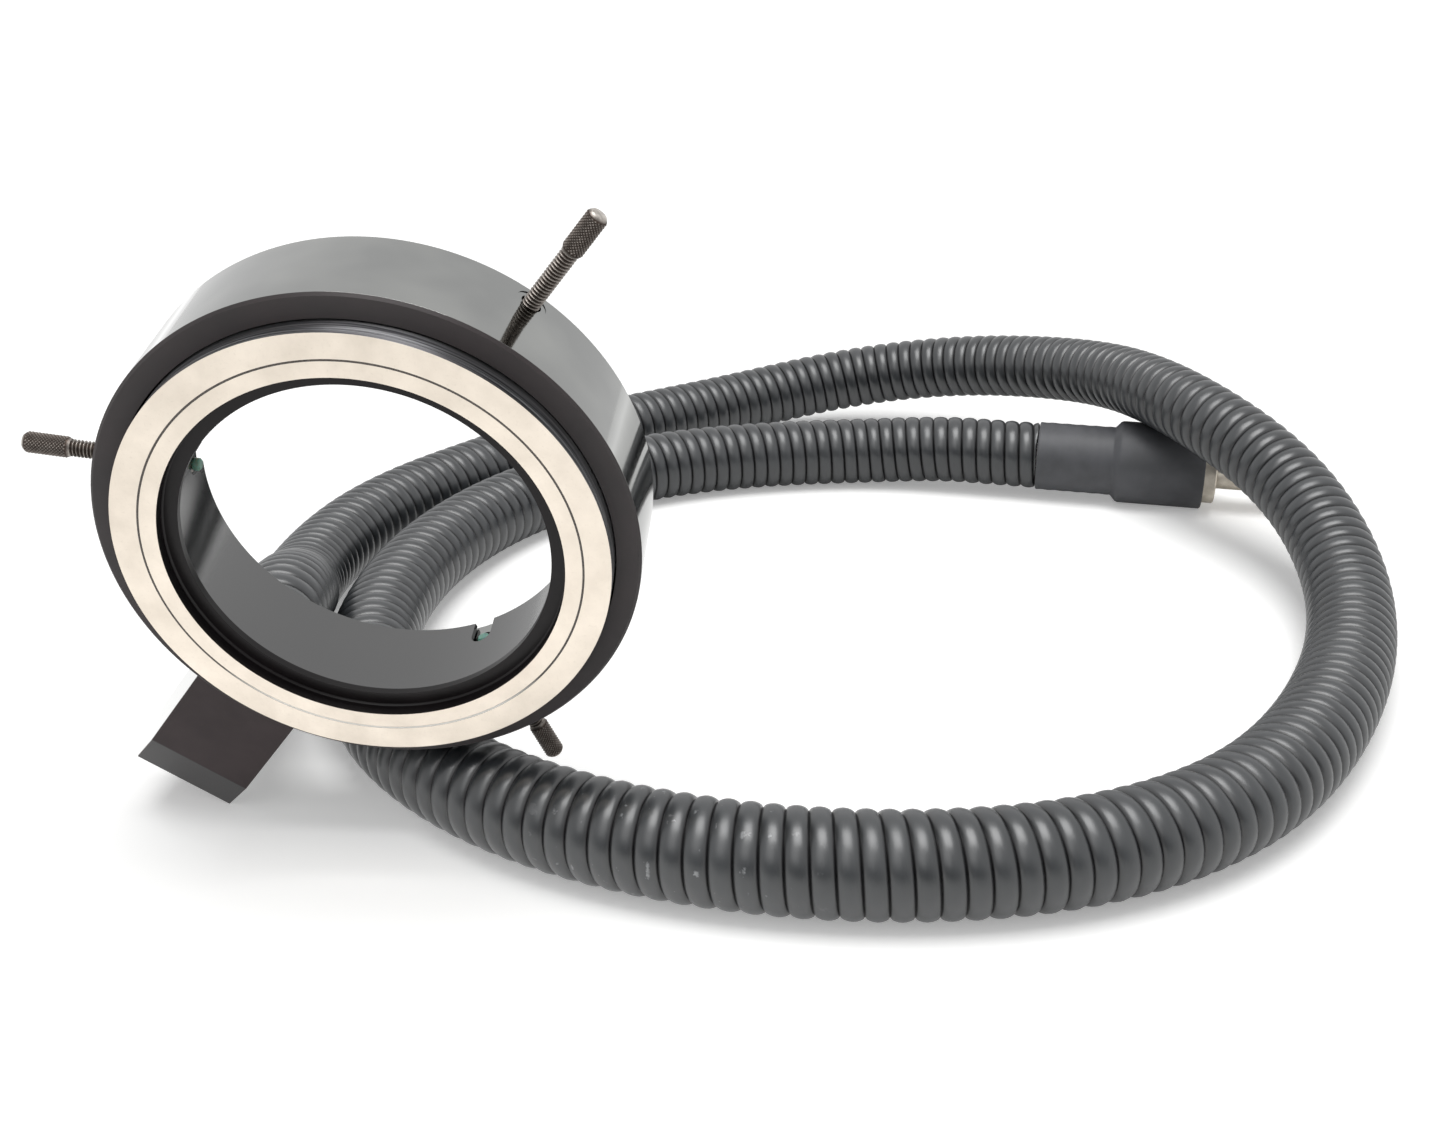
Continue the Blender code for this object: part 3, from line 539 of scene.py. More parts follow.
def vinyl_skin():
    """The hose: extruded vinyl, half glossy, so each rib carries one soft highlight."""
    material, tree, surface = new_finish("dark grey vinyl", IOR=1.75)
    groove = node(tree, "Attribute", attribute_name="groove").outputs["Fac"]
    place = node(tree, "TexCoord").outputs["Object"]
    cloud, shade = patchy(tree, place, VINYL_CLOUD_SCALE, "#232629", "#2d3033")
    grain = node(tree, "TexNoise", {"Vector": place, "Scale": VINYL_GRAIN_SCALE, "Detail": 2.0})
    # painted shade: the grooves are darkened towards near black by their depth
    painted_groove_shade = node(tree, "MapRange", {"Value": groove, "From Min": 0.15, "From Max": 0.8})
    shade = node(tree, "Mix", {"Factor": painted_groove_shade, FIRST: shade, SECOND: colour("#0b0c0e")}, data_type="RGBA")
    shade = node(tree, "Mix", {"Factor": scuffs(tree, place, groove), FIRST: shade, SECOND: colour("#9a9c9e")},
                 data_type="RGBA")
    drive(surface, Base_Color=shade,
          Roughness=node(tree, "MapRange", {"Value": cloud, **SPAN, "To Min": 0.30, "To Max": 0.38}),
          Normal=node(tree, "Bump", {"Height": grain, "Distance": 0.00003, "Strength": 0.22}))
    return material


def shrunk_sleeve():
    """The connector's sleeve: shrunk polyolefin, matte, with a slight orange peel from the heat."""
    material, tree, surface = new_finish("black heat shrink", Roughness=0.5, IOR=1.48)
    place = node(tree, "TexCoord").outputs["Object"]
    _, shade = patchy(tree, place, SHRINK_CLOUD_SCALE, "#47484b", "#525357")
    grain = node(tree, "TexNoise", {"Vector": place, "Scale": SHRINK_GRAIN_SCALE, "Detail": 3.0})
    drive(surface, Base_Color=shade,
          Normal=node(tree, "Bump", {"Height": grain, "Distance": 0.00004, "Strength": 0.4}))
    return material


def cast_epoxy():
    """The potting behind the fibres: poured amber resin, smooth, and streaky where it was stirred."""
    material, tree, surface = new_finish("cast amber epoxy", Roughness=0.3)
    place = node(tree, "TexCoord").outputs["Object"]
    cloud = node(tree, "TexNoise", {"Vector": place, "Scale": EPOXY_CLOUD_SCALE})
    drive(surface, Base_Color=node(tree, "Mix", {"Factor": cloud, FIRST: colour("#4c3a26"),
                                                 SECOND: colour("#6b5439")}, data_type="RGBA"))
    return material


vinyl, shrink, epoxy = vinyl_skin(), shrunk_sleeve(), cast_epoxy()
print("finishes:", vinyl.name, "/", shrink.name, "/", epoxy.name)

# %% [markdown]
# ## The ring
#
# The housing is one turned ring with a small chamfer at each end of its wall. The
# thumbscrews' holes have shallow spot faces, which leave two crescent marks on
# the round wall. We turn it and break its edges first, and drill it last, because
# a bevel that meets a drilled hole pulls the thin faces beside it out of true.

# %% Drills for the thumbscrews
GAP = 0.0003
OVERRUN = 0.002
SCREW_DEPTH = 0.0210
SCREW_HOLE = 0.00185
SCREW_CLOCKS = [math.radians(52.3 + 120 * number) for number in range(3)]
SPOT_FACE_RADIUS = 0.00275
SPOT_FACE_FLOOR = 0.04580
DRILL_LOW, DRILL_HIGH = 0.030, 0.048


def screw_drills():
    """A drill for each thumbscrew's hole, and one for its spot face."""
    made = []
    for number, clock in enumerate(SCREW_CLOCKS):
        place = radial_place(clock, SCREW_DEPTH)
        made.append(rod(f"drill_{number}", SCREW_HOLE, DRILL_LOW, DRILL_HIGH, place))
        made.append(rod(f"spot_face_{number}", SPOT_FACE_RADIUS, SPOT_FACE_FLOOR, DRILL_HIGH, place))
    return made


# %% Drills for the block's fastening
BLOCK_CLOCK = math.radians(232.8)
NECK_DEPTH = 0.0115
NECK_HOLE = 0.0036
NECK_LOW, NECK_HIGH = 0.0400, 0.058
BLOCK_SCREW_DEPTH = 0.0130
BLOCK_SCREW_HOLE = 0.00155
BLOCK_SCREW_SIDE = 0.0070
BLOCK_SCREW_LOW, BLOCK_SCREW_HIGH = 0.0384, 0.0517


def block_drills():
    """Drills for the fibres' neck and for the two screws that hold the block."""
    made = [rod("neck_drill", NECK_HOLE, NECK_LOW, NECK_HIGH, radial_place(BLOCK_CLOCK, NECK_DEPTH))]
    for side in (-1, 1):
        across = Matrix.Translation((side * BLOCK_SCREW_SIDE, 0, 0))
        place = radial_place(BLOCK_CLOCK, BLOCK_SCREW_DEPTH) @ across
        made.append(rod("block_screw_drill", BLOCK_SCREW_HOLE, BLOCK_SCREW_LOW, BLOCK_SCREW_HIGH, place))
    return made


# %% Ring housing
HOUSING_RADIUS = 0.0460
HOUSING_FRONT = 0.0040
HOUSING_BACK = 0.0251
HOUSING_EDGE = 0.0005
HOUSING_BREAK = 0.00006
BAND_FRONT = 0.0165
BAND_BORE = 0.0353
CHANNEL_RADIUS = 0.04174

housing = turned("housing", [
    (CHANNEL_RADIUS, HOUSING_FRONT), (HOUSING_RADIUS - HOUSING_EDGE, HOUSING_FRONT),
    (HOUSING_RADIUS, HOUSING_FRONT + HOUSING_EDGE), (HOUSING_RADIUS, HOUSING_BACK - HOUSING_EDGE),
    (HOUSING_RADIUS - HOUSING_EDGE, HOUSING_BACK), (BAND_BORE, HOUSING_BACK),
    (BAND_BORE, BAND_FRONT), (CHANNEL_RADIUS, BAND_FRONT)])
soften(place_at(housing, ALONG_BORE), HOUSING_BREAK)
cut(housing, *screw_drills(), *block_drills())
smooth(housing, angle=25)
true_flats(housing)

# %% [markdown]
# One piece can carry several finishes. The wall was turned to a gloss and the
# front and back were faced, so a face that looks along the bore gets the faced
# finish and the rest the gloss. A test on a face's place and normal decides.

# %% Finishes on the housing
LOOKS_ALONG = 0.5           # how far a face has to turn to the bore's line to count as front or back


def finishes(piece, first, *others):
    """The first finish on every face, and each other one on the faces that pass its test."""
    piece.data.materials.clear()
    for material in (first, *[material for material, test in others]):
        piece.data.materials.append(material)
    turn_back = HEAD.to_3x3().transposed()
    for face in piece.data.polygons:
        spot = turn_back @ (face.center - CENTRE)
        normal = turn_back @ face.normal
        for index, (material, test) in enumerate(others, 1):
            if test(spot, normal):
                face.material_index = index


finishes(housing, gloss_black, (face_black, lambda spot, normal: abs(normal.y) > LOOKS_ALONG))
finish_piece(housing, "light_guide", "black_anodised_aluminium", "ring_housing")

# %% [markdown]
# ## The nose
#
# The collar and the sleeve make the silver face. The collar's outer wall has a
# fine groove close to the face, left by the tool that faced it. Their walls are
# black and their ground faces silver, and a test finds the front faces.

# %% Nose collar
NOSE_BREAK = 0.00005
SLIT_OUTER = 0.03694
SLIT_DEEP = 0.0045
COLLAR_RADIUS = 0.04144
COLLAR_BACK = 0.0075
COLLAR_FOOT = 0.0022        # how much the back of the collar is narrower than its wall
FACE_GROOVE = 0.0010
FACE_GROOVE_WIDTH = 0.0003
FACE_GROOVE_DEEP = 0.00014
FRONT_REACH = 0.0004        # the ground face lies in front of this depth
LOOKS_FORWARD = -0.9


def on_front(spot, normal):
    return normal.y < LOOKS_FORWARD and spot.y < FRONT_REACH


collar = turned("collar", [
    (SLIT_OUTER, 0), (COLLAR_RADIUS, 0), (COLLAR_RADIUS, FACE_GROOVE),
    (COLLAR_RADIUS - FACE_GROOVE_DEEP, FACE_GROOVE),
    (COLLAR_RADIUS - FACE_GROOVE_DEEP, FACE_GROOVE + FACE_GROOVE_WIDTH),
    (COLLAR_RADIUS, FACE_GROOVE + FACE_GROOVE_WIDTH),
    (COLLAR_RADIUS, COLLAR_BACK), (COLLAR_RADIUS - COLLAR_FOOT, COLLAR_BACK), (SLIT_OUTER, SLIT_DEEP)])
soften(place_at(collar, ALONG_BORE), NOSE_BREAK)
true_flats(collar)
finishes(collar, nose_black, (silver, on_front))
finish_piece(collar, "light_guide", "ground_aluminium", "nose_collar")

# %% [markdown]
# The sleeve carries the bore. A lip stands in at its front, and three slots, open
# to the back, let the screws' tips pass. Each slot is cut by a round end and a
# box behind it.

# %% Bore sleeve
SLIT_INNER = 0.03660
TUBE_RADIUS, TUBE_FRONT = 0.0350, 0.0105
BORE_RADIUS, BORE_FRONT = 0.0342, 0.0048
LIP_RADIUS, LIP_FRONT, LIP_BACK = 0.03108, 0.0026, 0.0040
FACE_INNER, FACE_INNER_DEEP = 0.03373, 0.0023
LIP_CORNER = 0.03343
LIP_REACH = 0.0050          # in front of this depth the bore is milled, as the lip is
TIP_SLOT = 0.0040
SLOT_LOW, SLOT_HIGH = 0.0320, 0.0370
SLOT_MIDDLE, SLOT_HEIGHT = 0.0345, 0.005


def slot_cutters(place):
    """A slot for a screw's tip: a round front end, and a box from there out of the back."""
    round_end = rod("slot_end", TIP_SLOT / 2, SLOT_LOW, SLOT_HIGH, place)
    deselect()
    bpy.ops.mesh.primitive_cube_add(size=1, location=(0, 0.5, 0))
    box = bpy.context.object
    bpy.ops.object.transform_apply(location=True)
    bpy.ops.transform.resize(value=(TIP_SLOT, HOUSING_BACK + OVERRUN - SCREW_DEPTH, SLOT_HEIGHT),
                             center_override=(0, 0, 0))
    bpy.ops.object.transform_apply(location=True, rotation=True, scale=True)
    return [round_end, place_at(box, place @ Matrix.Translation((0, 0, SLOT_MIDDLE)))]


sleeve = turned("sleeve", [
    (FACE_INNER, 0), (SLIT_INNER, 0), (SLIT_INNER, SLIT_DEEP), (TUBE_RADIUS, TUBE_FRONT),
    (TUBE_RADIUS, HOUSING_BACK), (BORE_RADIUS, HOUSING_BACK), (BORE_RADIUS, BORE_FRONT),
    (LIP_RADIUS, LIP_BACK), (LIP_RADIUS, LIP_FRONT), (LIP_CORNER, LIP_FRONT), (FACE_INNER, FACE_INNER_DEEP)])
soften(place_at(sleeve, ALONG_BORE), NOSE_BREAK)
for clock in SCREW_CLOCKS:
    cut(sleeve, *slot_cutters(radial_place(clock, SCREW_DEPTH)))
smooth(sleeve, angle=25)
true_flats(sleeve)
finishes(sleeve, bore_black, (milled_black_and_chamfer_shade, lambda spot, normal: spot.y < LIP_REACH), (silver, on_front))
finish_piece(sleeve, "light_guide", "ground_aluminium", "bore_sleeve")

# %% Ring of fibre ends
FIBRE_INNER, FIBRE_OUTER = 0.03662, 0.03692
FIBRE_FACE = 0.00002        # just behind the silver face, so that the two never share a plane

annulus = turned("fibre_ring", [(FIBRE_INNER, FIBRE_FACE), (FIBRE_OUTER, FIBRE_FACE),
                                (FIBRE_OUTER, SLIT_DEEP), (FIBRE_INNER, SLIT_DEEP)])
finish_piece(place_at(annulus, ALONG_BORE), "light_guide", "glass_fibre", "fibre_annulus", fibre)

# %% [markdown]
# ## The outlet block
#
# A sawn and milled block: a cube to size, one long chamfer cut with bisect, a
# saddle to fit the ring, and its bores. Milled edges are broken only a little,
# and as on the ring this comes before the holes.

# %% Outlet block
BLOCK_WIDTH = 0.0197
BLOCK_LOW = 0.0400
BLOCK_REACH = 0.0757
BLOCK_FRONT = 0.0060
BLOCK_BREAK = 0.0002
CHAMFER_LENGTH = 0.0096
CHAMFER_DEPTH = 0.0036
CHAMFER_NORMAL = Vector((0, -CHAMFER_LENGTH, CHAMFER_DEPTH)).normalized()
BISECT_SNAP = 1e-6

deselect()
bpy.ops.mesh.primitive_cube_add(size=1, location=(0, (BLOCK_FRONT + HOUSING_BACK) / 2,
                                                  (BLOCK_LOW + BLOCK_REACH) / 2))
block = bpy.context.object
block.name = "block"
bpy.ops.transform.resize(value=(BLOCK_WIDTH, HOUSING_BACK - BLOCK_FRONT, BLOCK_REACH - BLOCK_LOW))
bpy.ops.object.transform_apply(location=True, rotation=True, scale=True)
edit(block)
bpy.ops.mesh.select_all(action="SELECT")
bpy.ops.mesh.bisect(plane_co=(0, BLOCK_FRONT, BLOCK_REACH - CHAMFER_LENGTH), plane_no=CHAMFER_NORMAL,
                    use_fill=True, clear_outer=True, threshold=BISECT_SNAP)
done(block)
soften(place_at(block, radial_place(BLOCK_CLOCK, 0)), BLOCK_BREAK, angle=15)

# %% The block's holes and finishes
GLAND_REACH = 0.0580
GLAND_RADIUS = 0.0077
GLAND_DRILL_START = 0.0090
GRUB_DEPTH = 0.0199
GRUB_HOLE, GRUB_HOLE_START = 0.0018, 0.0618
SIDE_LOOKS, CHAMFER_LOOKS = 0.9, 0.98       # how closely a face has to look that way

block_place = radial_place(BLOCK_CLOCK, 0)
gland_axis = block_place @ Matrix.Translation((0, 0, GLAND_REACH)) @ Matrix.Rotation(-math.pi / 2, 4, "X")
cut(block, rod("saddle", HOUSING_RADIUS + GAP, -OVERRUN, HOUSING_BACK + OVERRUN, ALONG_BORE, 192),
    rod("gland_drill", GLAND_RADIUS + GAP, GLAND_DRILL_START, HOUSING_BACK + OVERRUN, gland_axis, 64),
    rod("grub_drill", GRUB_HOLE, GRUB_HOLE_START, BLOCK_REACH + OVERRUN, radial_place(BLOCK_CLOCK, GRUB_DEPTH)),
    *block_drills())
smooth(block, angle=6)
true_flats(block)
block_ways = HEAD.to_3x3().transposed() @ block_place.to_3x3()
block_side = block_ways @ Vector((1, 0, 0))
chamfer_way = block_ways @ CHAMFER_NORMAL
# the sides take the gloss, and the chamfer the darker milled finish as painted shade
finishes(block, satin_black, (gloss_black, lambda spot, normal: abs(normal.dot(block_side)) > SIDE_LOOKS),
         (milled_black_and_chamfer_shade, lambda spot, normal: normal.dot(chamfer_way) > CHAMFER_LOOKS))
finish_piece(block, "light_guide", "black_anodised_aluminium", "outlet_block")

# %% [markdown]
# The gland on the back of the block is turned from brass and plated. Its grub
# screw has a hexagon socket, which a six-sided cutter makes.

# %% Hose gland
TURNED_BREAK = 0.00008
GLAND_BORE = 0.0050
GLAND_FRONT = 0.0151
GLAND_FLANGE_RADIUS = 0.0095
GLAND_FLANGE_EDGE = 0.0004
GLAND_FLANGE_FRONT = HOUSING_BACK + GAP
GLAND_FLANGE_BACK = GLAND_FLANGE_FRONT + 0.0024

gland = turned("gland", [
    (GLAND_BORE, GLAND_FRONT), (GLAND_RADIUS, GLAND_FRONT), (GLAND_RADIUS, GLAND_FLANGE_FRONT),
    (GLAND_FLANGE_RADIUS, GLAND_FLANGE_FRONT), (GLAND_FLANGE_RADIUS, GLAND_FLANGE_BACK - GLAND_FLANGE_EDGE),
    (GLAND_FLANGE_RADIUS - GLAND_FLANGE_EDGE, GLAND_FLANGE_BACK), (GLAND_BORE, GLAND_FLANGE_BACK)], 96)
soften(place_at(gland, gland_axis), TURNED_BREAK)
finish_piece(gland, "light_guide", "plated_brass", "hose_gland", nickel)

# %% Gland's grub screw
GRUB_RADIUS = 0.0015
GRUB_START = GLAND_REACH + GLAND_RADIUS + GAP
GRUB_LENGTH = 0.0060
GRUB_BREAK = 0.00012
HEXAGON_RADIUS = 0.00085
HEXAGON_START, HEXAGON_END = 0.0044, 0.0070

grub_place = radial_place(BLOCK_CLOCK, GRUB_DEPTH)
grub = rod("grub", GRUB_RADIUS, GRUB_START, GRUB_START + GRUB_LENGTH, grub_place)
cut(grub, rod("hexagon", HEXAGON_RADIUS, GRUB_START + HEXAGON_START, GRUB_START + HEXAGON_END, grub_place, 6))
soften(grub, GRUB_BREAK)
finish_piece(grub, "light_guide", "black_oxide_steel", "gland_grub_screw", oxide)

# %% [markdown]
# ## The thumbscrews
#
# Each has a fine thread and a slim head with a diamond knurl. The thread is one
# tooth, carried round and up by the Screw modifier, and cut square with bisect.

# %% Thread
PITCH = 0.000635
THREAD_RADIUS = 0.00155
THREAD_ROOT = 0.00120
THREAD_STEPS = 24
SHANK_LENGTH = 0.0211
SCREW_MERGE = 1e-6
# each stretch of the tooth's outline: the radius it ends at, and its climb as a share of the pitch
TOOTH = ((THREAD_RADIUS, 0.36), (THREAD_RADIUS, 0.12), (THREAD_ROOT, 0.36), (THREAD_ROOT, 0.16))


def threaded_shank():
    """A threaded rod along Z, from 0 to just inside the head."""
    piece = one_point("shank", THREAD_ROOT, -PITCH)
    for radius, climb in TOOTH:
        mesh = bmesh.from_edit_mesh(piece.data)
        x = [vert.co.x for vert in mesh.verts if vert.select][0]
        bpy.ops.mesh.extrude_region_move(TRANSFORM_OT_translate={"value": (radius - x, 0, climb * PITCH)})
    bpy.ops.object.mode_set(mode="OBJECT")
    apply_modifier(piece, "SCREW", axis="Z", screw_offset=PITCH, iterations=int(SHANK_LENGTH / PITCH) + 3,
                   steps=THREAD_STEPS, render_steps=THREAD_STEPS, use_merge_vertices=False)
    edit(piece)
    bpy.ops.mesh.select_all(action="SELECT")
    bpy.ops.mesh.remove_doubles(threshold=SCREW_MERGE)
    bpy.ops.mesh.bisect(plane_co=(0, 0, 0), plane_no=(0, 0, 1), use_fill=True, clear_inner=True,
                        threshold=BISECT_SNAP)
    bpy.ops.mesh.select_all(action="SELECT")
    bpy.ops.mesh.bisect(plane_co=(0, 0, SHANK_LENGTH + 2 * GAP), plane_no=(0, 0, 1), use_fill=True,
                        clear_outer=True, threshold=BISECT_SNAP)
    return done(piece)


# %% [markdown]
# The knurl starts as a plain grid on a tube. Poking each face and dissolving the
# old edges leaves diamonds, and poking those with an offset raises pyramids. Both
# ends are then drawn in ring by ring: a chamfer, and a slight crown on top.

# %% Knurled head
HEAD_RADIUS = 0.00195
HEAD_LENGTH = 0.00825
HEAD_EDGE = 0.0005
KNURL_COLUMNS = 18
KNURL_ROWS = 12
KNURL_DEEP = 0.00020
HEAD_BORE = HEAD_RADIUS - KNURL_DEEP
# each ring of an end: its climb, and its radius as a share of the ring before
CROWN = ((HEAD_EDGE, 0.78), (HEAD_EDGE / 5, 0.80), (HEAD_EDGE / 12, 0.45))
SHOULDER_RINGS = ((-HEAD_EDGE, THREAD_RADIUS / HEAD_BORE), (0, 0.7))


def knurled_head():
    """The screw's head: a tube of diamonds with a chamfer at each end and a slight crown."""
    deselect()
    bpy.ops.mesh.primitive_circle_add(vertices=KNURL_COLUMNS, radius=HEAD_BORE, location=(0, 0, 0))
    piece = bpy.context.object
    piece.name = "head"
    edit(piece)
    bpy.ops.mesh.select_all(action="SELECT")
    bpy.ops.transform.translate(value=(0, 0, SHANK_LENGTH + HEAD_EDGE))
    row = (HEAD_LENGTH - 2 * HEAD_EDGE) / KNURL_ROWS
    for _ in range(KNURL_ROWS):
        bpy.ops.mesh.extrude_region_move(TRANSFORM_OT_translate={"value": (0, 0, row)})
    bpy.ops.mesh.select_all(action="SELECT")
    bpy.ops.mesh.normals_make_consistent(inside=False)
    old_points = KNURL_COLUMNS * (KNURL_ROWS + 1)
    bpy.ops.mesh.poke()
    mesh = bmesh.from_edit_mesh(piece.data)
    mesh.verts.index_update()
    bpy.ops.mesh.select_all(action="DESELECT")
    for edge in mesh.edges:
        edge.select = all(vert.index < old_points for vert in edge.verts) and not edge.is_boundary
    bpy.ops.mesh.dissolve_edges(use_verts=False)
    mesh = bmesh.from_edit_mesh(piece.data)
    bpy.ops.mesh.select_all(action="DESELECT")
    bpy.ops.mesh.select_mode(type="FACE")
    for face in mesh.faces:
        face.select = len(face.verts) == 4
    bpy.ops.mesh.poke(offset=KNURL_DEEP)
    bpy.ops.mesh.select_mode(type="VERT")
    close_end(piece, SHANK_LENGTH + HEAD_LENGTH - HEAD_EDGE, CROWN)
    close_end(piece, SHANK_LENGTH + HEAD_EDGE, SHOULDER_RINGS)
    return done(piece)


def close_end(piece, height, rings):
    """Draw the open rim at a height in, ring by ring, and fill what is left."""
    mesh = bmesh.from_edit_mesh(piece.data)
    bpy.ops.mesh.select_all(action="DESELECT")
    for vert in mesh.verts:
        vert.select = vert.is_boundary and abs(vert.co.z - height) < MERGE * 100
    mesh.select_flush(True)
    for climb, share in rings:
        bpy.ops.mesh.extrude_region_move(TRANSFORM_OT_translate={"value": (0, 0, climb)})
        bpy.ops.transform.resize(value=(share, share, 1))
    bpy.ops.mesh.edge_face_add()


# %% [markdown]
# The hole for the tip's stem is drilled into the shank, and then shank and head
# are joined into one screw. Wear is stored on each point by its distance from the
# axis, because only the crests of the thread and the tops of the diamonds rub
# bright. The end is worn all over.

# %% One screw
TIP_HOLE = 0.0009
TIP_HOLE_DEEP = 0.0020
RUBBED = 0.55               # how worn the crests are, where 1 is bare steel


def wear_of(radius, height):
    if height > SHANK_LENGTH + HEAD_LENGTH - HEAD_EDGE / 2:
        return 1.0
    if height > SHANK_LENGTH + HEAD_EDGE / 2:
        return RUBBED * max(0.0, (radius - HEAD_RADIUS + KNURL_DEEP) / KNURL_DEEP)
    return RUBBED * max(0.0, (radius - THREAD_ROOT) / (THREAD_RADIUS - THREAD_ROOT)) ** 3


def model_screw():
    shank = cut(threaded_shank(), rod("stem_hole", TIP_HOLE, -OVERRUN, TIP_HOLE_DEEP, Matrix(), 32))
    head = knurled_head()
    pick(head)
    shank.select_set(True)
    bpy.ops.object.join()
    screw = bpy.context.object
    smooth(screw, angle=28)
    wear = screw.data.attributes.new("wear", "FLOAT", "POINT")
    for vert, value in zip(screw.data.vertices, wear.data):
        value.value = wear_of(math.hypot(vert.co.x, vert.co.y), vert.co.z)
    screw.data.materials.append(oxide)
    return screw


# %% Three screws
pattern = model_screw()
for number in (1, 2, 3):
    joint = joints[f"thumbscrew_{number}_spin"]
    outwards = -Vector(joint["axis"])
    turn = Matrix((BACK.cross(outwards), BACK, outwards)).transposed().to_4x4()
    screw = pattern.copy()
    screw.data = pattern.data.copy()
    screw.name = f"thumbscrew_turned_{number}"
    bpy.context.scene.collection.objects.link(screw)
    place_at(screw, Matrix.Translation(joint["pos_m"]) @ turn)
    finish_piece(screw, f"screw_{number}", "black_oxide_steel", f"thumbscrew_{number}")
bpy.data.objects.remove(pattern)

# %% [markdown]
# ## The hose
#
# The hose leaves the gland, comes down to the bench and makes one and a half
# loops: it climbs over its own far end, comes back under the ring and ends in
# the connector. Its route is a short list of points, and a smooth cubic curve
# goes through them.

# %% The route
HOSE_RADIUS = 0.00965
HOSE_BORE = 0.0068
HOSE_END = Vector((0.1486, 0.1992, 0.01185))
HOSE_START_DEPTH = 0.0281
HOSE_STRAIGHT = 0.0040
CONNECTOR_HEADING = math.radians(-10.6)
SPINE_POINTS = 6001
FREE_ROUTE = (
    (-0.0275, 0.0450, 0.0259),
    (-0.0313, 0.0650, 0.0210),
    (-0.0373, 0.0850, 0.0132),
    (-0.0398, 0.1060, 0.0102),
    (-0.0364, 0.1350, 0.0097),
    (-0.0247, 0.1635, 0.0097),
    (-0.0098, 0.1870, 0.0097),
    (0.0047, 0.2090, 0.0097),
    (0.0334, 0.2355, 0.0097),
    (0.0605, 0.2535, 0.0112),
    (0.0850, 0.2623, 0.0148),
    (0.1100, 0.2628, 0.0192),
    (0.1340, 0.2545, 0.0237),
    (0.1540, 0.2387, 0.0278),
    (0.1690, 0.2183, 0.0314),
    (0.1790, 0.1950, 0.0336),
    (0.1886, 0.1720, 0.0328),
    (0.1978, 0.1545, 0.0292),
    (0.2049, 0.1380, 0.0243),
    (0.2087, 0.1200, 0.0187),
    (0.2085, 0.0995, 0.0134),
    (0.2034, 0.0770, 0.0104),
    (0.1938, 0.0525, 0.0097),
    (0.1815, 0.0295, 0.0097),
    (0.1625, 0.0055, 0.0097),
    (0.1335, -0.0130, 0.0097),
    (0.0990, -0.0203, 0.0097),
    (0.0630, -0.0173, 0.0097),
    (0.0270, -0.0025, 0.0097),
    (-0.0025, 0.0280, 0.0097),
    (-0.0154, 0.0750, 0.0097),
    (-0.0075, 0.1350, 0.0097),
    (0.0120, 0.1685, 0.0097),
    (0.0390, 0.1900, 0.0097),
    (0.0700, 0.2020, 0.0097),
    (0.1020, 0.2063, 0.0102),
)

end_heading = Vector((math.cos(CONNECTOR_HEADING), math.sin(CONNECTOR_HEADING), 0))
hose_start = gland_axis @ Vector((0, 0, HOSE_START_DEPTH))


def even_points(line, count):
    """Points at equal steps along a line of close points."""
    lengths = np.concatenate(([0], np.cumsum(np.linalg.norm(np.diff(line, axis=0), axis=1))))
    wanted = np.linspace(0, lengths[-1], count)
    return np.column_stack([np.interp(wanted, lengths, line[:, axis]) for axis in range(3)]), lengths[-1]


def smooth_path(points, first_heading, last_heading, steps=60):
    """Close points on the smooth cubic curve through the given points."""
    knots = np.array([tuple(point) for point in points])
    spans = np.linalg.norm(np.diff(knots, axis=0), axis=1)
    size = len(knots)
    system = np.zeros((size, size))
    right = np.zeros((size, 3))
    system[0, 0] = system[-1, -1] = 1
    right[0], right[-1] = tuple(first_heading), tuple(last_heading)
    for i in range(1, size - 1):
        before, after = spans[i - 1], spans[i]
        system[i, i - 1:i + 2] = (after, 2 * (before + after), before)
        right[i] = 3 * (before / after * (knots[i + 1] - knots[i]) + after / before * (knots[i] - knots[i - 1]))
    slopes = np.linalg.solve(system, right)
    line = []
    for i, span in enumerate(spans):
        for step in range(steps + (i == size - 2)):
            t = step / steps
            line.append((2 * t ** 3 - 3 * t ** 2 + 1) * knots[i]
                        + (t ** 3 - 2 * t ** 2 + t) * span * slopes[i]
                        + (3 * t ** 2 - 2 * t ** 3) * knots[i + 1]
                        + (t ** 3 - t ** 2) * span * slopes[i + 1])
    return np.array(line)


route = [hose_start + BACK * HOSE_STRAIGHT, *[Vector(point) for point in FREE_ROUTE],
         HOSE_END - end_heading * 2 * HOSE_RADIUS]
curve = smooth_path(route, BACK, end_heading)
curve = np.vstack([tuple(hose_start), curve, tuple(HOSE_END)])
spine, hose_length = even_points(curve, SPINE_POINTS)
print("hose length", round(hose_length, 4), "m")

# %% [markdown]
# The ribs are one long screw thread, as on a strip-wound conduit: each ring of
# the mesh is skewed by one pitch a turn, so that the grooves stay crisp along
# the helix. A frame that never twists is carried along the curve, so that the
# ribs don't lean one way and then the other. The groove attribute tells the
# vinyl finish how deep in a groove each point lies.

# %% The ribbed mesh
RIB_PITCH = 0.0041
GROOVE_DEPTH = 0.00095
RIB_PHASES = (0.0, 0.07, 0.17, 0.33, 0.5, 0.67, 0.83, 0.93)
SIDES = 40
BORE_STEP = 0.012
HALF_DEEP = 0.5             # the groove value of the plain rings: the cut ends and the hose's bore


def carried_frames(line):
    """Two directions square to the line at each point, without twist."""
    heading = np.gradient(line, axis=0)
    heading /= np.linalg.norm(heading, axis=1)[:, None]
    first = np.cross(heading[0], (0, 0, 1.0))
    first /= np.linalg.norm(first)
    sides = [first]
    for i in range(1, len(line)):
        side = sides[-1] - heading[i] * np.dot(sides[-1], heading[i])
        sides.append(side / np.linalg.norm(side))
    sides = np.array(sides)
    return sides, np.cross(heading, sides)


side_way, up_way = carried_frames(spine)


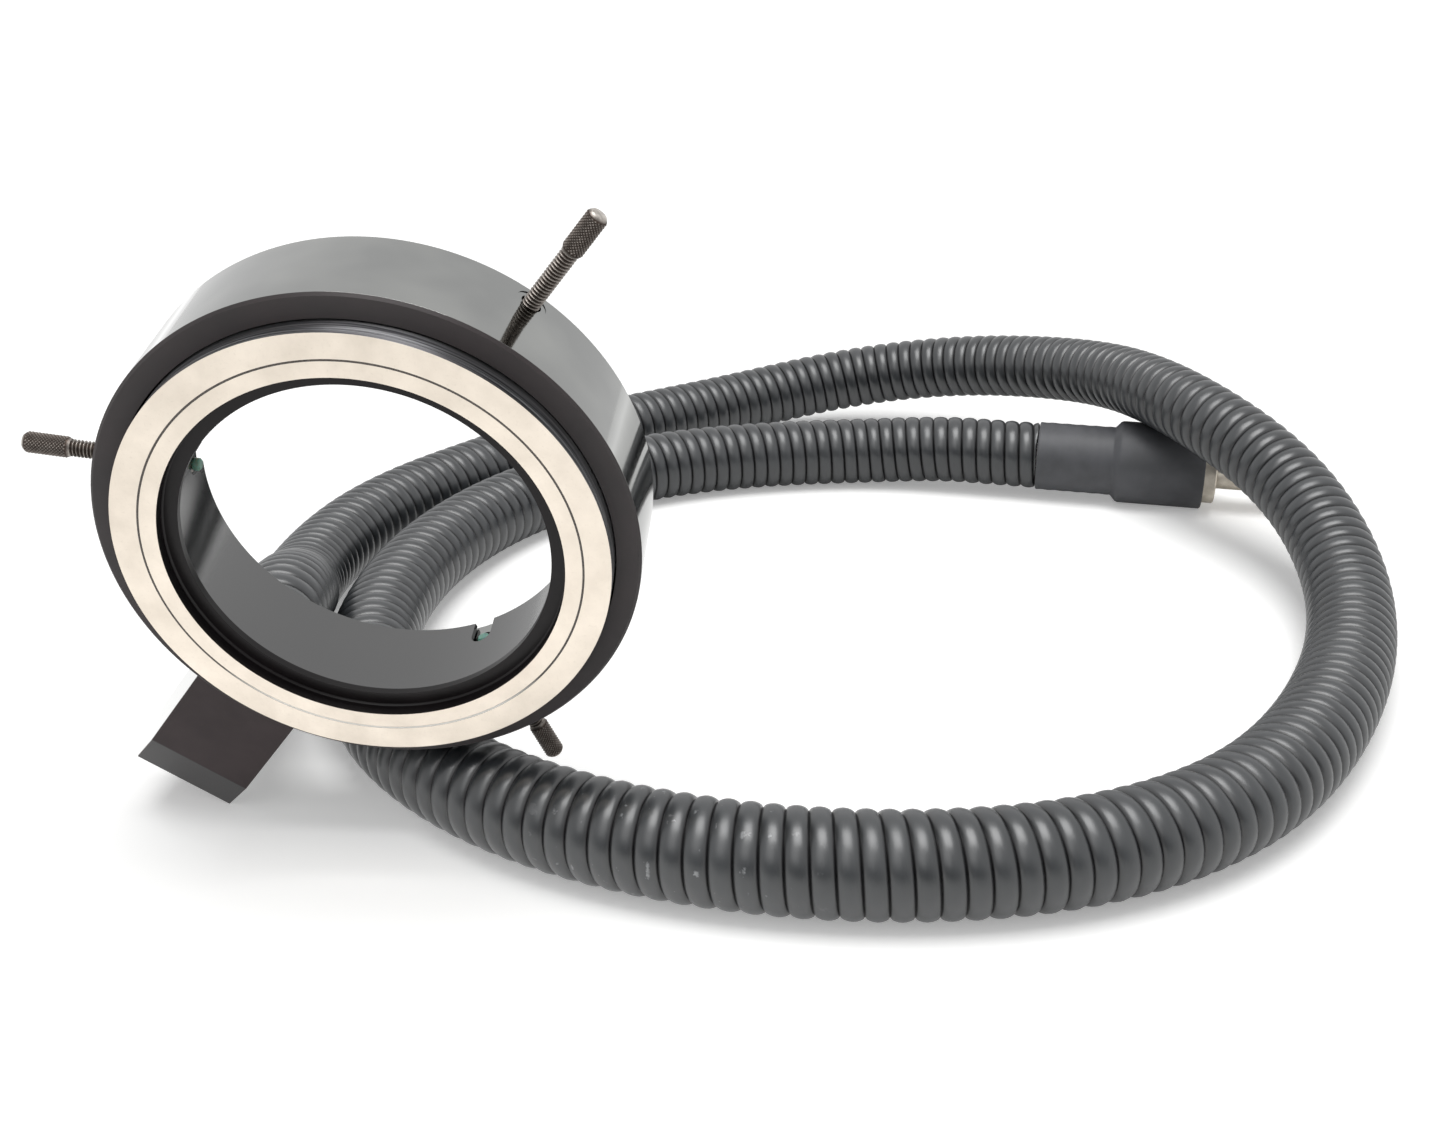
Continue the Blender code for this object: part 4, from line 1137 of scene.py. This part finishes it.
def on_hose(along, angle, radius):
    """A point on the hose, by its length along it, its angle round it and its radius."""
    index = min(max(along / hose_length, 0.0), 1.0) * (len(spine) - 1)
    low = min(int(index), len(spine) - 2)
    share = index - low
    centre = spine[low] * (1 - share) + spine[low + 1] * share
    side = side_way[low] * (1 - share) + side_way[low + 1] * share
    up = up_way[low] * (1 - share) + up_way[low + 1] * share
    return centre + radius * (math.cos(angle) * side + math.sin(angle) * up)


def groove_depth(phase):
    return GROOVE_DEPTH * (1 - math.sqrt(math.sin(math.pi * phase)))


def ribbed_hose():
    points, grooves, faces = [], [], []
    angles = [2 * math.pi * j / SIDES for j in range(SIDES)]

    def ring(along, radius):
        start = len(points)
        for angle in angles:
            points.append(on_hose(along, angle, radius))
            grooves.append(HALF_DEEP)
        return [start + j for j in range(SIDES)]

    end_radius = HOSE_RADIUS - GROOVE_DEPTH / 2
    first_ring, last_ring = ring(0, end_radius), ring(hose_length, end_radius)
    rib_rings = len(RIB_PHASES)
    count = (int(hose_length / RIB_PITCH) + 3) * rib_rings
    index = {}

    def corner(k, j):
        """The point of the skewed grid in ring k and column j. Past the last column the grid climbs a rib."""
        k, j = k + rib_rings * (j // SIDES), j % SIDES
        along = (k // rib_rings - 1 + RIB_PHASES[k % rib_rings] + j / SIDES) * RIB_PITCH
        if along <= 0:
            return first_ring[j]
        if along >= hose_length:
            return last_ring[j]
        if (k, j) not in index:
            index[(k, j)] = len(points)
            depth = groove_depth(RIB_PHASES[k % rib_rings])
            points.append(on_hose(along, angles[j], HOSE_RADIUS - depth))
            grooves.append(depth / GROOVE_DEPTH)
        return index[(k, j)]

    for k in range(count):
        for j in range(SIDES):
            corners = (corner(k, j), corner(k, j + 1), corner(k + 1, j + 1), corner(k + 1, j))
            face = list(dict.fromkeys(corners))
            if len(face) > 2:
                faces.append(face)
    inner = [ring(along, HOSE_BORE) for along in np.linspace(0, hose_length, int(hose_length / BORE_STEP))]
    for low, high in [(first_ring, inner[0])] + list(zip(inner, inner[1:])) + [(inner[-1], last_ring)]:
        for j in range(SIDES):
            after = (j + 1) % SIDES
            faces.append([low[j], low[after], high[after], high[j]])
    mesh = bpy.data.meshes.new("ribbed_hose")
    mesh.from_pydata([tuple(point) for point in points], [], faces)
    stored = mesh.attributes.new("groove", "FLOAT", "POINT")
    stored.data.foreach_set("value", grooves)
    piece = bpy.data.objects.new("ribbed_hose", mesh)
    bpy.context.scene.collection.objects.link(piece)
    edit(piece)
    bpy.ops.mesh.select_all(action="SELECT")
    bpy.ops.mesh.normals_make_consistent(inside=False)
    bpy.ops.object.mode_set(mode="OBJECT")
    smooth(piece, angle=60)
    return piece


hose = ribbed_hose()
finish_piece(hose, "light_guide", "grey_vinyl", "hose", vinyl)

# %% [markdown]
# ## The connector
#
# A stepped heat-shrink sleeve over a plated end fitting, and the ferrule that
# plugs into the light source. The sleeve's small half has sunk a little into the
# ribs under it, so its outline is a gentle wave.

# %% Heat-shrink sleeve
CONNECTOR = (Matrix.Translation(HOSE_END)
             @ Vector((0, 0, 1)).rotation_difference(end_heading).to_matrix().to_4x4())
SMALL_RADIUS = 0.0099
SMALL_LENGTH = 0.0222
LARGE_RADIUS = 0.0118
SHRINK_WALL = 0.0009
SLEEVE_END = 0.0472
SHOULDER = 0.0012
SOFT_EDGE = 0.0003          # heat leaves no sharp corner, so each is drawn with one or two small steps
FINE_EDGE = 0.0002
SHOULDER_FLARE = 0.0001
RIPPLE = 0.00012
RIPPLE_POINTS = 36


def rippled(height):
    return SMALL_RADIUS - RIPPLE * (1 - math.cos(2 * math.pi * height / RIB_PITCH)) / 2


heights = [GAP + SOFT_EDGE + (SMALL_LENGTH - 4 * SOFT_EDGE) * i / RIPPLE_POINTS for i in range(RIPPLE_POINTS + 1)]
outline = [(SMALL_RADIUS - SHRINK_WALL, GAP), (SMALL_RADIUS - FINE_EDGE, GAP)]
outline += [(rippled(height), height) for height in heights]
outline += [(SMALL_RADIUS + SHOULDER_FLARE, SMALL_LENGTH - SOFT_EDGE),
            (LARGE_RADIUS - SOFT_EDGE, SMALL_LENGTH + SHOULDER - FINE_EDGE),
            (LARGE_RADIUS, SMALL_LENGTH + SHOULDER + 2 * SOFT_EDGE),
            (LARGE_RADIUS, SLEEVE_END - 2 * FINE_EDGE), (LARGE_RADIUS - SOFT_EDGE, SLEEVE_END),
            (LARGE_RADIUS - SHRINK_WALL, SLEEVE_END), (LARGE_RADIUS - SHRINK_WALL, SMALL_LENGTH + SHOULDER),
            (SMALL_RADIUS - SHRINK_WALL, SMALL_LENGTH)]
sleeve_piece = place_at(turned("connector_sleeve", outline, 96), CONNECTOR)
smooth(sleeve_piece, angle=50)
finish_piece(sleeve_piece, "light_guide", "heat_shrink", "shrink_sleeve", shrink)

# %% End fitting
FITTING_BORE = 0.0046
FITTING_START = 0.0006
FITTING_SMALL, FITTING_STEP = 0.0087, 0.0228
FITTING_LARGE, FITTING_STEP_END = 0.0106, 0.0240
FLANGE_RADIUS = 0.00995
FLANGE_END = 0.0506
FERRULE_RADIUS = 0.00565
FERRULE_START = 0.0386

fitting = turned("fitting", [
    (FITTING_BORE, FITTING_START), (FITTING_SMALL, FITTING_START), (FITTING_SMALL, FITTING_STEP),
    (FITTING_LARGE, FITTING_STEP_END), (FITTING_LARGE, SLEEVE_END), (FLANGE_RADIUS, SLEEVE_END),
    (FLANGE_RADIUS, FLANGE_END - GAP), (FLANGE_RADIUS - GAP, FLANGE_END), (FERRULE_RADIUS + GAP, FLANGE_END),
    (FERRULE_RADIUS + GAP, FERRULE_START - GAP), (FITTING_BORE, FERRULE_START - GAP)], 96)
soften(place_at(fitting, CONNECTOR), TURNED_BREAK)
finish_piece(fitting, "light_guide", "plated_brass", "end_fitting", nickel)

# %% Ferrule and its window
FERRULE_BORE = 0.00425
FERRULE_END = 0.0720
FERRULE_EDGE = 0.0004
WINDOW_BACK, WINDOW_FACE = 0.0008, 0.0001   # how far these lie inside the ferrule's end
WINDOW_BREAK = 0.00005

ferrule = turned("ferrule_tube", [
    (FERRULE_BORE, FERRULE_START), (FERRULE_RADIUS, FERRULE_START), (FERRULE_RADIUS, FERRULE_END - FERRULE_EDGE),
    (FERRULE_RADIUS - FERRULE_EDGE, FERRULE_END), (FERRULE_BORE, FERRULE_END)], 96)
soften(place_at(ferrule, CONNECTOR), TURNED_BREAK)
finish_piece(ferrule, "light_guide", "plated_brass", "ferrule", nickel)

window = turned("window", [
    (0, FERRULE_END - WINDOW_BACK), (FERRULE_BORE - GAP, FERRULE_END - WINDOW_BACK),
    (FERRULE_BORE - GAP, FERRULE_END - WINDOW_FACE), (0, FERRULE_END - WINDOW_FACE)], 64, ring=False)
soften(place_at(window, CONNECTOR), WINDOW_BREAK)
finish_piece(window, "light_guide", "glass_fibre", "input_window", fibre)

# %% [markdown]
# The hose is one cord of its real length, and its connector goes with it.
# The hidden pieces and the screws' tips keep their imported shapes and get their
# real finishes.

# %% Finishes for the pieces that stay
KEPT = {
    "fibre_fan": fibre, "fibre_neck": fibre, "fibre_bundle": fibre, "potting_ring": epoxy,
    "block_screw_1": oxide, "block_screw_2": oxide,
    "thumbscrew_tip_1": nylon, "thumbscrew_tip_2": nylon, "thumbscrew_tip_3": nylon,
}
for name, material in KEPT.items():
    nodes[name].data.materials.clear()
    nodes[name].data.materials.append(material)
print("kept:", ", ".join(KEPT))

# %% [markdown]
# ## Floor and light
#
# The photograph was taken on a white table under big soft lights, and only the
# object's contact shadows show on it. The floor and the world glow for the
# camera, for reflections and through glass, and never light the object: that is
# left to two lamps. To the camera both are white.

# %% What the camera sees, apart from what lights the object


def seen_by_eye(tree):
    """1 for the rays of the camera, of reflections and of glass, and 0 for those that carry light."""
    path = node(tree, "LightPath")
    seen = node(tree, "Math", {0: path.outputs["Is Camera Ray"], 1: path.outputs["Is Glossy Ray"]},
                operation="MAXIMUM")
    return node(tree, "Math", {0: seen, 1: path.outputs["Is Transmission Ray"]}, operation="MAXIMUM")


# %% [markdown]
# In reflections the table isn't white all over. It is brightest in a pool at the
# ring's foot, dim beyond it, and bright again far off. That gives the ring's
# glossy wall and bore the shades that they have in the photo.

# %% Floor
FLOOR_SIZE = 12.0
MIDDLE_OF_OBJECT = (0.08, 0.10, 0.0)
NEAR_FLOOR, FAR_FLOOR = 0.35, 1.2
NEAR_GLOW = 0.30            # the lamps do the rest near the object, so that its shadows show
RING_FOOT = (0.0, -0.01, 0.0)
POOL_NEAR, POOL_FAR = 0.04, 0.20
POOL_GLOW, POOL_EDGE_GLOW = 0.55, 0.10


def white_floor():
    """A matte white table. Its glow is only seen, and never lights the object."""
    material, tree, surface = new_finish("white table", Roughness=1.0, Specular_IOR_Level=0.0,
                                         Base_Color=colour("#f7f7f6"), Emission_Color=(1, 1, 1, 1))
    place = node(tree, "TexCoord").outputs["Object"]
    away = node(tree, "VectorMath", {0: place, 1: MIDDLE_OF_OBJECT}, operation="DISTANCE")
    far = {"Value": away, "From Min": NEAR_FLOOR, "From Max": FAR_FLOOR}
    glow = node(tree, "MapRange", {**far, "To Min": NEAR_GLOW})
    in_front = node(tree, "VectorMath", {0: place, 1: RING_FOOT}, operation="DISTANCE")
    pool = node(tree, "MapRange", {"Value": in_front, "From Min": POOL_NEAR, "From Max": POOL_FAR,
                                   "To Min": POOL_GLOW, "To Max": POOL_EDGE_GLOW})
    mirrored = node(tree, "Math", {0: pool, 1: node(tree, "MapRange", far)}, operation="MAXIMUM")
    glossy = node(tree, "LightPath").outputs["Is Glossy Ray"]
    glow = node(tree, "Mix", {"Factor": glossy, "A": glow, "B": mirrored}, data_type="FLOAT")
    drive(surface, Emission_Strength=node(tree, "Math", {0: glow, 1: seen_by_eye(tree)}, operation="MULTIPLY"))
    return material


deselect()
bpy.ops.mesh.primitive_plane_add(size=FLOOR_SIZE, location=(0, 0, 0))
floor = bpy.context.object
floor.name = "floor"
floor.data.materials.append(white_floor())
print("floor", FLOOR_SIZE, "m wide")

# %% [markdown]
# The room is white to the camera from every side. In reflections the part of it
# behind the camera is dark, as it was behind the photographer, with a white
# ceiling over it. That dark part draws the black bands in the polished bore.

# %% World
SKY_LIGHT = 0.25
CEILING_SHARE = 0.8         # how much looking up counts against looking back
BEHIND_CAMERA, BESIDE_CAMERA = -0.85, -0.25
ROOM_DARK = 0.15

world = bpy.data.worlds.new("white room")
bpy.context.scene.world = world
world.use_nodes = True
tree = world.node_tree
tree.nodes.clear()
way = node(tree, "TexCoord").outputs["Generated"]
towards = node(tree, "VectorMath", {0: way, 1: (0, 1, CEILING_SHARE)}, operation="DOT_PRODUCT")
room = node(tree, "MapRange", {"Value": towards, "From Min": BEHIND_CAMERA, "From Max": BESIDE_CAMERA,
                               "To Min": ROOM_DARK})
room = node(tree, "Math", {0: room, 1: node(tree, "LightPath").outputs["Is Camera Ray"]}, operation="MAXIMUM")
strength = node(tree, "Mix", {"Factor": seen_by_eye(tree), "A": SKY_LIGHT, "B": room}, data_type="FLOAT")
node(tree, "OutputWorld", {"Surface": node(tree, "Background", {"Color": (1, 1, 1, 1), "Strength": strength})})

# %% [markdown]
# One soft lamp hangs overhead. It makes the highlight on each rib of the hose and
# the soft shadows. A larger and much weaker one stands in front, so that the
# faces towards the camera aren't black.

# %% Lamps


def soft_lamp(name, place, size, power):
    """A square lamp that points at the middle of the object."""
    data = bpy.data.lights.new(name, "AREA")
    data.shape = "SQUARE"
    data.size = size
    data.energy = power
    lamp = bpy.data.objects.new(name, data)
    lamp.location = place
    lamp.rotation_euler = (Vector(MIDDLE_OF_OBJECT) - Vector(place)).to_track_quat("-Z", "Y").to_euler()
    bpy.context.scene.collection.objects.link(lamp)
    print(name, size, "m wide,", power, "W")


soft_lamp("top softbox", (0.1, -0.1, 1.5), 1.0, 17.0)
soft_lamp("front softbox", (-0.3, -1.2, 1.3), 1.2, 4.5)
bpy.context.scene.view_settings.view_transform = "Standard"
